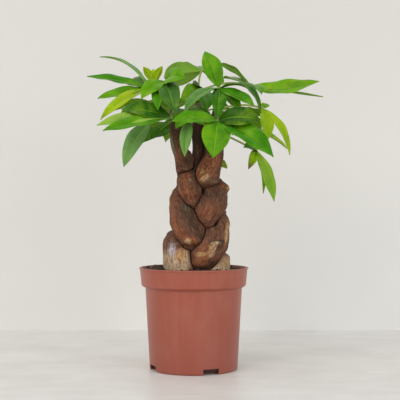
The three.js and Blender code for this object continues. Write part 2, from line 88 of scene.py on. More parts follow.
def soft_noise(u: Array, v: Array, around: int, seed: int) -> Array:
    """Smooth random heights over two parameters.

    Each whole-number corner of the grid holds a random value, and between corners the four nearest are
    blended by the smooth step of the two fractions. The pattern repeats in u after a number of cells.

    Args:
        u: first parameter, in cells.
        v: second parameter, in cells.
        around: number of cells in u before the pattern repeats.
        seed: start of the random draw.

    Returns:
        Heights between -1 and 1, in the shape of u and v.
    """
    corners = np.random.default_rng(seed).uniform(-1, 1, (around, NOISE_CELLS))
    low_u, low_v = np.floor(u).astype(int), np.floor(v).astype(int)
    part_u, part_v = smooth_step(0, 1, u - low_u), smooth_step(0, 1, v - low_v)
    columns = (low_u % around, (low_u + 1) % around)
    rows = (low_v % NOISE_CELLS, (low_v + 1) % NOISE_CELLS)
    below = corners[columns[0], rows[0]] * (1 - part_u) + corners[columns[1], rows[0]] * part_u
    above = corners[columns[0], rows[1]] * (1 - part_u) + corners[columns[1], rows[1]] * part_u
    return below * (1 - part_v) + above * part_v


def bezier(start: Spot, control: Spot, end: Spot, t: Array) -> Array:
    """Points of a quadratic curve: (1-t)^2 start + 2t(1-t) control + t^2 end."""
    t = t[:, None]
    return (1 - t) ** 2 * start + 2 * t * (1 - t) * control + t**2 * end


def bezier_heading(start: Spot, control: Array, end: Spot, t: Array) -> Array:
    """Unit directions of that curve: (1-t)(control-start) + t(end-control), made one long."""
    t = t[:, None]
    return unit((1 - t) * (control - start) + t * (end - control))


def bearings(sides: int) -> Array:
    """Even bearings round a ring, from +X, in radians."""
    return np.arange(sides) * TAU / sides


def rings(radius: Array, height: Array, turn: Array) -> Array:
    """Points round the upright axis: radius cos turn, radius sin turn, height."""
    return np.stack(np.broadcast_arrays(radius * np.cos(turn), radius * np.sin(turn), height), axis=-1)


def side_by_side(shape: tuple[int, ...], *values: Union[Array, float]) -> Array:
    """Values next to each other in a last axis, each spread over the shape."""
    return np.stack([np.broadcast_to(value, shape) for value in values], axis=-1)


# Meshes


@dataclass
class Shell:
    """One closed skin: its points in millimetres, its faces, its marks for the finishes, and its finish."""

    points: Array
    quads: Array
    triangles: Array
    marks: dict[str, Array]
    finish: int = 0


def sleeve(grid: Array, marks: dict[str, Array], finish: int = 0) -> Shell:
    """A closed skin over a grid of points, with a fan at each end.

    Rows follow each other along the sleeve and columns run round it, counter-clockwise about the direction
    of the rows, so the faces point outwards.

    Args:
        grid: points, rows by columns by 3, in millimetres.
        marks: named values of the grid's points, rows by columns by 3.
        finish: which of the piece's finishes covers it.

    Returns:
        The shell.
    """
    rows, columns, _ = grid.shape
    at = np.arange(rows * columns).reshape(rows, columns)
    beside = np.roll(at, -1, axis=1)
    quads = np.stack([at[:-1], beside[:-1], beside[1:], at[1:]], axis=-1).reshape(-1, 4)
    first, last = rows * columns, rows * columns + 1
    foot = np.stack([np.full(columns, first), beside[0], at[0]], axis=-1)
    head = np.stack([np.full(columns, last), at[-1], beside[-1]], axis=-1)
    flat = {
        name: np.concatenate([value.reshape(-1, 3), value[[0, -1]].mean(axis=1)])
        for name, value in marks.items()
    }
    points = np.concatenate([grid.reshape(-1, 3), grid[[0, -1]].mean(axis=1)])
    return Shell(points, quads, np.concatenate([foot, head]), flat, finish)


def tone_marks(grid: Array, tone: Point, share: Union[Array, float] = 0) -> dict[str, Array]:
    """The marks of a stalk or a hub.

    Args:
        grid: its points.
        tone: age, sheen and browning, and upper side, the same all over; the second value browns a shoot, and
            on leaflets it is their painted sheen.
        share: share of the way along it.

    Returns:
        The marks blade, tone and spoil, as a leaflet has them.
    """
    shape = grid.shape[:2]
    return {
        "blade": side_by_side(shape, 0, share, 0),
        "tone": side_by_side(shape, *tone),
        "spoil": side_by_side(shape, 0, 0, 0),
    }


def tube(line: Array, radii: Array, sides: int, tone: Point, finish: int = 0) -> Shell:
    """A round skin along a line of points.

    At each point a ring of radius r lies across the line: point + r (side cos a + up sin a), where side and
    up are square to the line's direction there.

    Args:
        line: points of the middle line.
        radii: radius at each point.
        sides: points in a ring.
        tone: value of the tone mark, the same all over.
        finish: which of the piece's finishes covers it.

    Returns:
        The shell, with its tone and its place along and round it as marks.
    """
    along = unit(np.gradient(line, axis=0))
    side = unit(np.cross(TUBE_HINT, along))
    up = np.cross(along, side)
    turn = bearings(sides)[None, :, None]
    ring = np.cos(turn) * side[:, None] + np.sin(turn) * up[:, None]
    grid = line[:, None] + radii[:, None, None] * ring
    share = np.linspace(0, 1, len(line))[:, None]
    return sleeve(grid, tone_marks(grid, tone, share), finish)


def ball(
    centre: Point, radius: float, tone: Point, finish: int = 0, rows: int = 9, sides: int = 14
) -> Shell:
    """A closed ball of rings: heights by the sine of latitude, ring radii by its cosine."""
    latitude = np.linspace(-LAST_LATITUDE, LAST_LATITUDE, rows)[:, None]
    grid = np.array(centre) + radius * rings(np.cos(latitude), np.sin(latitude), bearings(sides))
    return sleeve(grid, tone_marks(grid, tone), finish)


def mesh_of(name: str, shells: list[Shell]) -> bpy.types.Mesh:
    """Puts shells into one mesh, in metres, with their marks as vector attributes on its points.

    Args:
        name: the mesh's name.
        shells: the closed skins, all with the same marks.

    Returns:
        The mesh, shaded smooth.
    """
    starts = np.cumsum([0] + [len(shell.points) for shell in shells])
    points = np.concatenate([shell.points for shell in shells]) * MM
    quads = np.concatenate([shell.quads + start for shell, start in zip(shells, starts)])
    triangles = np.concatenate([shell.triangles + start for shell, start in zip(shells, starts)])
    corners = np.concatenate([quads.ravel(), triangles.ravel()]).astype(np.int32)
    firsts = np.concatenate([np.arange(len(quads)) * 4, quads.size + np.arange(len(triangles)) * 3])
    finish = np.concatenate(
        [np.full(len(shell.quads), shell.finish) for shell in shells]
        + [np.full(len(shell.triangles), shell.finish) for shell in shells]
    )
    mesh = bpy.data.meshes.new(name)
    mesh.vertices.add(len(points))
    mesh.vertices.foreach_set("co", points.ravel().astype(np.float32))
    mesh.loops.add(len(corners))
    mesh.loops.foreach_set("vertex_index", corners)
    mesh.polygons.add(len(firsts))
    mesh.polygons.foreach_set("loop_start", firsts.astype(np.int32))
    mesh.polygons.foreach_set("material_index", finish.astype(np.int32))
    mesh.polygons.foreach_set("use_smooth", np.ones(len(firsts), dtype=bool))
    mesh.update(calc_edges=True)
    for mark in shells[0].marks:
        values = np.concatenate([shell.marks[mark] for shell in shells])
        layer = mesh.attributes.new(mark, "FLOAT_VECTOR", "POINT")
        layer.data.foreach_set("vector", values.ravel().astype(np.float32))
    mesh.validate()
    return mesh


def add_piece(
    name: str,
    shells: list[Shell],
    finishes: list[bpy.types.Material],
    slot: str,
    stands_for: tuple[str, ...] = (),
) -> bpy.types.Object:
    """Adds a piece of the plant, riding on the frame.

    Args:
        name: the piece's name.
        shells: its closed skins, in place.
        finishes: its materials, in the order of its finish numbers.
        slot: the record's material slot.
        stands_for: the frame's nodes that it replaces.

    Returns:
        The piece.
    """
    mesh = mesh_of(name, shells)
    piece = bpy.data.objects.new(name, mesh)
    bpy.context.scene.collection.objects.link(piece)
    for finish in finishes:
        mesh.materials.append(finish)
    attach(piece, "root")
    if stands_for:
        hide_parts(*stands_for)
    log.info("%s: %d faces, finish %s", name, len(mesh.polygons), slot)
    return piece


# Finishes

Input = Union["Wire", float, Colour]


def arithmetic(operation: str, first: bool = True) -> Callable[["Wire", Input], "Wire"]:
    """A method of a wire that adds one Math node.

    Args:
        operation: what the node does.
        first: whether the wire comes first in it, or else the other value.

    Returns:
        The method.
    """

    def result(self: "Wire", other: Input) -> "Wire":
        """The node's result."""
        return self.tree.math(operation, *((self, other) if first else (other, self)))

    return result


class Wire:
    """An output of a node in a finish, on which the signs of arithmetic add Math nodes."""

    def __init__(self, tree: "FinishTree", socket: bpy.types.NodeSocket) -> None:
        """Wraps one output socket of a tree."""
        self.tree = tree
        self.socket = socket

    __add__, __radd__ = arithmetic("ADD"), arithmetic("ADD", first=False)
    __sub__, __rsub__ = arithmetic("SUBTRACT"), arithmetic("SUBTRACT", first=False)
    __mul__, __rmul__ = arithmetic("MULTIPLY"), arithmetic("MULTIPLY", first=False)


class FinishTree:
    """The nodes of one finish round its shader."""

    def __init__(self, name: str) -> None:
        """Starts a material with the usual shader and nothing else."""
        self.material = bpy.data.materials.new(name)
        self.material.use_nodes = True
        self.nodes = self.material.node_tree.nodes
        self.links = self.material.node_tree.links
        self.shader = self.nodes["Principled BSDF"]

    def node(self, kind: str, settings: dict, inputs: dict) -> bpy.types.Node:
        """Adds one node.

        Args:
            kind: the node's type.
            settings: its own settings, and stops for a colour ramp.
            inputs: values or wires by the name or number of the input.

        Returns:
            The node.
        """
        node = self.nodes.new(kind)
        for name, value in settings.items():
            if name == "stops":
                self.set_stops(node.color_ramp, value)
            else:
                setattr(node, name, value)
        for name, value in inputs.items():
            self.feed(node.inputs[name], value)
        return node

    @staticmethod
    def set_stops(ramp: bpy.types.ColorRamp, stops: list[tuple[float, Colour]]) -> None:
        """Gives a colour ramp its stops, from left to right."""
        while len(ramp.elements) < len(stops):
            ramp.elements.new(0.5)
        for element, (place, colour) in zip(ramp.elements, stops):
            element.position = place
            element.color = (*colour, 1)

    def feed(self, socket: bpy.types.NodeSocket, value: Input) -> None:
        """Links a wire to an input, or sets its number or colour."""
        if isinstance(value, Wire):
            self.links.new(value.socket, socket)
        elif isinstance(value, tuple) and socket.type == "RGBA":
            socket.default_value = (*value, 1)
        else:
            socket.default_value = value

    def math(self, operation: str, a: Input, b: Input = 0.0, clamp: bool = False) -> Wire:
        """One Math node's result."""
        settings = {"operation": operation, "use_clamp": clamp}
        return Wire(self, self.node("ShaderNodeMath", settings, {0: a, 1: b}).outputs[0])

    def mix(self, factor: Input, a: Input, b: Input) -> Wire:
        """Blend of two colours."""
        node = self.node("ShaderNodeMix", {"data_type": "RGBA"}, {0: factor, 6: a, 7: b})
        return Wire(self, node.outputs[2])

    def coats(self, base: Input, coats: list[tuple[Input, Input]]) -> Wire:
        """Colour of a base under coats, each a factor and a colour, from the first laid on to the last."""
        for factor, colour in coats:
            base = self.mix(factor, base, colour)
        return base

    def ramp(self, factor: Wire, stops: list[tuple[float, Colour]]) -> Wire:
        """Colour along a list of stops."""
        node = self.node("ShaderNodeValToRGB", {"stops": stops}, {"Fac": factor})
        return Wire(self, node.outputs["Color"])

    def mark(self, name: str) -> list[Wire]:
        """The three values of a mark on the mesh's points."""
        return self.split(self.place(name))

    def split(self, whole: Wire) -> list[Wire]:
        """The three values of a vector."""
        node = self.node("ShaderNodeSeparateXYZ", {}, {0: whole})
        return [Wire(self, output) for output in node.outputs]

    def place(self, name: str = "") -> Wire:
        """The vector to lay a pattern by: the mark of that name, or else the place in millimetres."""
        if name:
            node = self.node("ShaderNodeAttribute", {"attribute_name": name}, {})
            return Wire(self, node.outputs["Vector"])
        own = Wire(self, self.node("ShaderNodeTexCoord", {}, {}).outputs["Object"])
        grown = self.node("ShaderNodeVectorMath", {"operation": "SCALE"}, {0: own, "Scale": 1 / MM})
        return Wire(self, grown.outputs[0])

    def stretched(self, where: Wire, scale: Point) -> Wire:
        """A place multiplied along its three axes, to draw a pattern out."""
        node = self.node("ShaderNodeVectorMath", {"operation": "MULTIPLY"}, {0: where, 1: scale})
        return Wire(self, node.outputs[0])

    def noise(self, where: Wire, scale: float, detail: float = 3.0, roughness: float = 0.55) -> Wire:
        """Soft noise between about 0.2 and 0.8; scale is in cells a millimetre."""
        inputs = {"Vector": where, "Scale": scale, "Detail": detail, "Roughness": roughness}
        return Wire(self, self.node("ShaderNodeTexNoise", {}, inputs).outputs["Fac"])

    def cells(self, where: Wire, scale: float) -> Wire:
        """Distance to the nearest of scattered points; scale is in points a millimetre."""
        inputs = {"Vector": where, "Scale": scale}
        return Wire(self, self.node("ShaderNodeTexVoronoi", {}, inputs).outputs["Distance"])

    def step(self, value: Wire, low: float, high: float) -> Wire:
        """0 below low, 1 above high, straight between; the two may be the other way round."""
        return self.math("MULTIPLY", value - low, 1 / (high - low), clamp=True)

    def bump(self, height: Wire, strength: float, distance: float) -> Wire:
        """Normal of a fine relief; distance is in metres."""
        inputs = {"Height": height, "Strength": strength, "Distance": distance}
        return Wire(self, self.node("ShaderNodeBump", {}, inputs).outputs["Normal"])

    def set(self, name: str, value: Input) -> None:
        """Sets or links one input of the shader."""
        self.feed(self.shader.inputs[name], value)


@dataclass(frozen=True)
class PotPlastic:
    """Thin moulded plastic, red-brown, satin, with faint upright streaks and scuffs, and painted shade
    darkening it towards the foot.
    """

    colour: Colour = (0.335, 0.068, 0.033)
    streak: Colour = (0.365, 0.084, 0.046)
    scuff: Colour = (0.47, 0.21, 0.15)
    # Painted shade: the colour that the plastic darkens to towards the foot.
    foot: Colour = (0.27, 0.055, 0.030)
    fade: tuple[float, float] = (90, 10)
    roughness: float = 0.40
    gloss: float = 0.36
    gloss_roughness: float = 0.34

    def material(self) -> bpy.types.Material:
        """The finish as a material."""
        tree = FinishTree("pot_plastic")
        where = tree.place()
        streaks = tree.noise(tree.stretched(where, (1, 1, 0.05)), 0.16, 4.0)
        clouds = tree.noise(where, 0.03, 3.0)
        specks = tree.noise(where, 0.9, 2.0)
        coats = [
            (tree.step(streaks, 0.35, 0.68), self.streak),
            (tree.step(clouds, 0.45, 0.8) * 0.25, self.scuff),
            (tree.step(specks, 0.66, 0.72) * 0.12, self.scuff),
            # Painted shade: darker from 90 mm down to 10 mm above the floor.
            (tree.step(tree.split(where)[2], *self.fade) * 0.5, self.foot),
        ]
        tree.set("Base Color", tree.coats(self.colour, coats))
        tree.set("Roughness", self.roughness + 0.10 * streaks + 0.08 * specks)
        tree.set("Coat Weight", self.gloss)
        tree.set("Coat Roughness", self.gloss_roughness)
        tree.set("Normal", tree.bump(streaks + 0.25 * specks, 0.12, 0.0006))
        return tree.material


@dataclass(frozen=True)
class PottingSoil:
    """Dark damp peat with lighter fibres and grains."""

    dark: Colour = (0.022, 0.012, 0.008)
    brown: Colour = (0.075, 0.042, 0.028)
    grain: Colour = (0.20, 0.14, 0.10)

    def material(self) -> bpy.types.Material:
        """The finish as a material."""
        tree = FinishTree("potting_soil")
        where = tree.place()
        clumps = tree.noise(where, 0.35, 6.0, 0.7)
        grains = tree.cells(where, 0.55)
        fibres = tree.noise(tree.stretched(where, (1, 0.25, 1)), 1.1, 3.0)
        coats = [
            (tree.step(clumps, 0.35, 0.68), self.brown),
            (tree.step(grains, 0.16, 0.06) * tree.step(fibres, 0.5, 0.62), self.grain),
        ]
        tree.set("Base Color", tree.coats(self.dark, coats))
        tree.set("Roughness", 0.78 + 0.2 * clumps)
        tree.set("Normal", tree.bump(clumps + 0.4 * fibres, 0.8, 0.0015))
        return tree.material


@dataclass(frozen=True)
class Bark:
    """Smooth brown bark with fine fibres along the stem, rust and pale stains, moss, and painted shade in the
    creases between the stems and under the leaves.
    """

    brown: Colour = (0.172, 0.076, 0.044)
    # Dark brown of the blotches and fibres, and the colour of the painted shade.
    dark: Colour = (0.055, 0.030, 0.019)
    red: Colour = (0.245, 0.092, 0.050)
    tan: Colour = (0.34, 0.17, 0.095)
    grain: Colour = (0.60, 0.28, 0.13)
    pale: Colour = (0.66, 0.47, 0.29)
    honey: Colour = (0.62, 0.36, 0.15)
    rust: Colour = (0.33, 0.108, 0.044)
    lilac: Colour = (0.58, 0.48, 0.50)
    moss: Colour = (0.25, 0.235, 0.12)
    # Painted shade in the creases where the stems press together.
    painted_crease_shade: Colour = (0.012, 0.005, 0.004)
    crease_power: float = 2.2

    def material(self) -> bpy.types.Material:
        """The finish as a material."""
        tree = FinishTree("bark")
        straight = tree.place("straight")
        fibres = tree.noise(tree.stretched(straight, (1, 1, 0.09)), 0.62, 5.0, 0.7)
        flecks = tree.noise(tree.stretched(straight, (1, 1, 0.35)), 0.62, 4.0, 0.75)
        patches = tree.noise(straight, 0.075, 4.0)
        blotches = tree.noise(straight, 0.22, 5.0, 0.7)
        mottle = tree.noise(tree.stretched(straight, (1, 1, 0.6)), 0.40, 5.0, 0.75)
        bands = tree.noise(tree.stretched(straight, (0.25, 0.25, 1)), 0.5, 3.0)
        pale, rust, lilac = tree.mark("stain")
        # The shade mark holds moss, then painted shade under the leaves and in hollows, then painted shade in
        # the creases.
        moss, dark, painted_crease_shade = tree.mark("shade")
        spots = tree.cells(tree.stretched(straight, (1, 1, 0.6)), 0.42)
        grainy = tree.step(rust + blotches, 1.20, 1.90)
        bare = tree.mix(tree.step(rust, 0.2, 0.9), self.pale, self.honey)
        coats = [
            (tree.step(patches, 0.40, 0.60), self.red),
            (tree.step(blotches, 0.50, 0.68) * 0.75, self.dark),
            # Painted shade where the DARK patches lie.
            (dark * (0.55 + 0.6 * fibres), self.dark),
            (tree.step(rust * (0.5 + blotches), 0.12, 0.75), self.rust),
            (tree.step(moss * (0.5 + blotches), 0.15, 0.7), self.moss),
            (tree.step(spots, 0.42, 0.60) * grainy * 0.45, self.dark),
            (tree.step(spots, 0.36, 0.20) * grainy * 0.65, self.grain),
            (tree.step(pale * (0.35 + 1.2 * mottle), 0.25, 0.85), bare),
            (tree.step(lilac * (0.35 + 1.2 * mottle), 0.25, 0.8), self.lilac),
            (tree.step(mottle, 0.54, 0.68) * 0.50, self.tan),
            (tree.step(mottle, 0.48, 0.34) * 0.75, self.dark),
            (tree.step(fibres, 0.50, 0.36) * 0.75, self.dark),
            (tree.step(flecks, 0.46, 0.35) * (0.55 + 0.15 * pale), self.dark),
            (tree.step(blotches, 0.52, 0.66) * tree.step(pale, 0.3, 0.9) * 0.3, self.brown),
            (tree.step(fibres, 0.54, 0.68) * 0.65, self.tan),
            # Painted shade in the creases, from the third value of the shade mark.
            (tree.math("POWER", painted_crease_shade, self.crease_power, clamp=True), self.painted_crease_shade),
        ]
        tree.set("Base Color", tree.coats(self.brown, coats))
        tree.set("Roughness", 0.62 + 0.28 * blotches)
        tree.set("Specular IOR Level", 0.2)
        tree.set("Normal", tree.bump(fibres + 0.7 * mottle + 0.5 * blotches + 0.3 * bands, 0.9, 0.0016))
        return tree.material


@dataclass(frozen=True)
class GreenBark:
    """Skin of young shoots and leaf stalks: green, brown towards the foot, with fine upright lines."""

    name: str
    browning: float
    green: Colour = (0.16, 0.27, 0.055)
    young: Colour = (0.30, 0.36, 0.06)
    brown: Colour = (0.10, 0.060, 0.030)

    def material(self) -> bpy.types.Material:
        """The finish as a material."""
        tree = FinishTree(self.name)
        where = tree.place()
        _, along, _ = tree.mark("blade")
        tone, sheen_and_browning, _ = tree.mark("tone")
        lines = tree.noise(tree.stretched(where, (1, 1, 0.2)), 1.2, 3.0)
        browned = tree.step(lines + (1 - along) * self.browning + sheen_and_browning, 0.75, 1.25)
        tree.set("Base Color", tree.coats(self.green, [(tone, self.young), (browned, self.brown)]))
        tree.set("Roughness", 0.42 + 0.25 * lines)
        tree.set("Normal", tree.bump(lines, 0.4, 0.0004))
        return tree.material


@dataclass(frozen=True)
class LeafBlade:
    """Glossy leaflet: dark to yellow green by age, with a pale rib, side veins and a matt underside, and
    painted sheen: glints, darker patches and a pale veil.
    """

    deep: Colour = (0.010, 0.072, 0.001)
    mid: Colour = (0.041, 0.218, 0.001)
    bright: Colour = (0.118, 0.318, 0.001)
    young: Colour = (0.345, 0.480, 0.006)
    # Painted sheen: a pale veil standing for light reflected off the leaf.
    painted_sheen: Colour = (0.24, 0.42, 0.15)
    # Painted highlight: the colour of the glints.
    glint: Colour = (0.35, 0.56, 0.03)
    rib: Colour = (0.22, 0.42, 0.02)
    under: Colour = (0.100, 0.260, 0.008)
    dry: Colour = (0.16, 0.085, 0.035)
    shine: Colour = (0.75, 1.0, 0.3)

    def material(self) -> bpy.types.Material:
        """The finish as a material."""
        tree = FinishTree("leaf_blade")
        where = tree.place()
        across, along, vein = tree.mark("blade")
        tone, sheen_and_browning, upper = tree.mark("tone")
        tip_dry, _, _ = tree.mark("spoil")
        clouds = tree.noise(where, 0.07, 4.0)
        mottle = tree.noise(where, 0.55, 4.0, 0.6)
        sheen = tree.noise(where, 0.06, 3.0, 0.5)
        age = 0.47 + 1.3 * (tone - 0.5) + 0.42 * (clouds - 0.5) + 0.14 * (mottle - 0.5)
        stops = [(0.0, self.deep), (0.45, self.mid), (0.72, self.bright), (1.0, self.young)]
        out = tree.math("ABSOLUTE", across)
        near_vein = tree.step(vein, 0.12, 0.03) * tree.step(out, 0.97, 0.80)
        beneath = tree.step(upper, 0.5, 0.0)
        below = tree.mix(tone * 0.7, self.under, self.young)
        coats = [
            (near_vein * 0.18, self.rib),
            # Painted sheen from one noise: painted shade where it is low, painted glints where it is high.
            (tree.step(sheen, 0.48, 0.30) * 0.40, self.deep),
            (tree.step(sheen, 0.52, 0.72) * 0.30, self.glint),
            # Painted sheen: a pale veil where the second value of the tone mark asks for it.
            (sheen_and_browning * (0.30 + 1.1 * clouds), self.painted_sheen),
            (tree.step(out, 0.93, 0.99) * 0.20, self.young),
            (beneath * 0.65, below),
            (tree.step(out, 0.07, 0.02) * 0.5, self.rib),
            (tree.step(along * (0.8 + 0.4 * mottle) + tip_dry, 1.42, 1.62), self.dry),
        ]
        tree.set("Base Color", tree.coats(tree.ramp(age, stops), coats))
        tree.set("Roughness", 0.22 + 0.16 * mottle + 0.30 * beneath)
        tree.set("Specular IOR Level", 0.28)
        tree.set("Specular Tint", self.shine)
        tree.set("Normal", tree.bump(mottle - 0.7 * near_vein, 0.35, 0.0005))
        return tree.material


@dataclass(frozen=True)
class PalePlaster:
    """Plain pale surface of the studio, with a breath of cloud in it, seen from one side only if asked, and
    darkened with height by painted shade if asked.
    """

    name: str
    colour: Colour
    cloud: Colour
    roughness: float
    one_sided: bool = False
    # Painted shade: the darker colour that the surface reaches high up.
    high: Colour = (0.70, 0.685, 0.645)
    fade: float = 0

    def material(self) -> bpy.types.Material:
        """The finish as a material, with painted shade: darker with height over that many millimetres, to its
        high colour.
        """
        tree = FinishTree(self.name)
        where = tree.place()
        clouds = tree.noise(where, 0.012, 5.0, 0.6)
        veins = tree.noise(tree.stretched(where, (0.4, 1.2, 1)), 0.04, 4.0)
        coats = [(tree.step(clouds + 0.6 * veins, 0.62, 1.05), self.cloud)]
        if self.fade:
            # Painted shade: darker with height, against the lamps' brighter light up there.
            coats.append((tree.step(tree.split(where)[2], 0, self.fade), self.high))
        tree.set("Base Color", tree.coats(self.colour, coats))
        tree.set("Roughness", self.roughness + 0.15 * clouds)
        if self.one_sided:
            behind = tree.node("ShaderNodeNewGeometry", {}, {}).outputs["Backfacing"]
            clear = tree.node("ShaderNodeBsdfTransparent", {}, {}).outputs[0]
            both = tree.node("ShaderNodeMixShader", {}, {})
            tree.links.new(behind, both.inputs[0])
            tree.links.new(tree.shader.outputs[0], both.inputs[1])
            tree.links.new(clear, both.inputs[2])
            tree.links.new(both.outputs[0], tree.nodes["Material Output"].inputs["Surface"])
        return tree.material


# The pot and its soil


@dataclass
class NurseryPot:
    """Round pot of thin moulded plastic, with a deep rim band, a lip, and notches where water drains."""

    height: float = 111
    rim_radius: float = 60
    band_top_radius: float = 58.8
    band_foot_radius: float = 57.4
    band_foot: float = 91.5
    band_rounding: float = 0.75
    wall_top_radius: float = 53
    wall_foot_radius: float = 48.2
    wall: float = 1.3
    base: float = 1.8
    base_rounding: float = 1.1
    foot_rounding: float = 2.2
    foot_points: int = 7
    shoulder: float = 2.4
    shoulder_inset: float = 0.9
    shoulder_power: float = 1.6
    shoulder_points: int = 7
    band_turn: tuple[float, float] = (-0.9, 0.1)
    band_points: int = 4
    lip: float = 1.8
    bevel: float = 0.5
    softening: float = 0.15
    flare: tuple = ((1.2, -2.4), (1.05, -1.2), (0.65, -0.2), (0.15, 0.5))
    axis_gap: float = 1
    longest_run: float = 9
    sides: int = 192
    sharp_deg: float = 38
    notch_first_deg: float = -157
    notch_count: int = 4
    notch: Point = (18, 18, 13)

    @staticmethod
    def arc(centre: tuple[float, float], radius: float, first: float, last: float, points: int) -> Array:
        """Points of a round corner, between two angles from straight out."""
        turn = np.linspace(first, last, points)
        return np.array(centre) + radius * np.column_stack([np.cos(turn), np.sin(turn)])

    def profile(self) -> Array:
        """Radius and height round the wall's section: under the base, up outside, over the lip, down inside.

        The foot and the band's lower edge are arcs. The shoulder steps out by the smooth step, and the lip
        flares from the band by a few points, each given by how far it lies in from the rim and up from the
        lip's foot.
        """
        rounding = self.foot_rounding
        centre = (self.wall_foot_radius - rounding, rounding)
        foot = self.arc(centre, rounding, -TAU / 4, 0, self.foot_points)
        share = np.linspace(0, 1, self.shoulder_points)
        shoulder = self.band_foot - self.shoulder
        step_out = self.band_foot_radius - self.shoulder_inset - self.wall_top_radius
        step = np.column_stack(
            [
                self.wall_top_radius + step_out * smooth_step(0, 1, share),
                shoulder + self.shoulder * share**self.shoulder_power,
            ]
        )
        rounding = self.band_rounding
        centre = (self.band_foot_radius - rounding, self.band_foot + rounding)
        band = self.arc(centre, rounding, *self.band_turn, self.band_points)
        flare = [(self.rim_radius - inwards, self.height - self.lip + up) for inwards, up in self.flare]
        inner_top = self.band_top_radius - self.wall
        inner_foot = self.wall_foot_radius - self.wall
        rest = [
            (self.rim_radius, self.height - self.bevel),
            (self.rim_radius - self.softening, self.height - self.softening),
            (self.rim_radius - self.bevel, self.height),
            (inner_top + self.bevel, self.height),
            (inner_top + self.softening, self.height - self.softening),
            (inner_top, self.height - self.bevel),
            (self.band_foot_radius - self.wall, self.band_foot + 2 * self.bevel),
            (self.wall_top_radius - self.wall, shoulder + self.bevel),
            (inner_foot, self.base + self.base_rounding),
            (inner_foot - self.base_rounding, self.base),
            (self.axis_gap, self.base),
        ]
        return np.concatenate([[(self.axis_gap, 0)], foot, step, band, flare, rest])

    def filled(self, corners: Array) -> Array:
        """The profile with points added on long runs, so that no two lie too far apart."""
        parts = np.ceil(np.linalg.norm(np.diff(corners, axis=0), axis=1) / self.longest_run).astype(int)
        runs = [
            start + (end - start) * np.linspace(0, 1, count, endpoint=False)[:, None]
            for start, end, count in zip(corners, corners[1:], parts.clip(1))
        ]
        return np.concatenate([*runs, corners[-1:]])

    def build(self, finish: bpy.types.Material) -> None:
        """Turns the profile about the upright axis, cuts the notches and adds the pot.

        Args:
            finish: the pot's plastic.
        """
        line = self.filled(self.profile())
        grid = rings(line[:, :1], line[:, 1:], bearings(self.sides))
        piece = add_piece("pot_wall", [sleeve(grid, {})], [finish], "pot_plastic", ("pot",))
        for i in range(self.notch_count):
            self.cut(piece, math.radians(self.notch_first_deg) + i * TAU / self.notch_count)
        piece.data.set_sharp_from_angle(angle=math.radians(self.sharp_deg))

    def cut(self, piece: bpy.types.Object, bearing: float) -> None:
        """Cuts one drain notch through the corner of the wall and the base, and keeps the mesh that results.

        Args:
            piece: the pot.
            bearing: the notch's bearing from +X, in radians.
        """
        share = np.array([[a, b, c] for a in (-0.5, 0.5) for b in (-0.5, 0.5) for c in (-0.5, 0.5)])
        box = share * self.notch + (self.wall_foot_radius, 0, 0)
        c, s = math.cos(bearing), math.sin(bearing)
        box = box @ np.array([[c, s, 0], [-s, c, 0], [0, 0, 1]])
        faces = [(0, 1, 3, 2), (4, 6, 7, 5), (0, 4, 5, 1), (2, 3, 7, 6), (0, 2, 6, 4), (1, 5, 7, 3)]
        mesh = bpy.data.meshes.new("notch")
        mesh.from_pydata((box * MM).tolist(), [], faces)
        tool = bpy.data.objects.new("notch", mesh)
        bpy.context.scene.collection.objects.link(tool)
        boolean = piece.modifiers.new("notch", "BOOLEAN")
        boolean.operation, boolean.solver, boolean.object = "DIFFERENCE", "EXACT", tool
        bpy.context.view_layer.update()
        shown = piece.evaluated_get(bpy.context.evaluated_depsgraph_get())
        cut = bpy.data.meshes.new_from_object(shown)
        piece.modifiers.clear()
        old, piece.data = piece.data, cut
        bpy.data.meshes.remove(old)
        bpy.data.objects.remove(tool)
        bpy.data.meshes.remove(mesh)


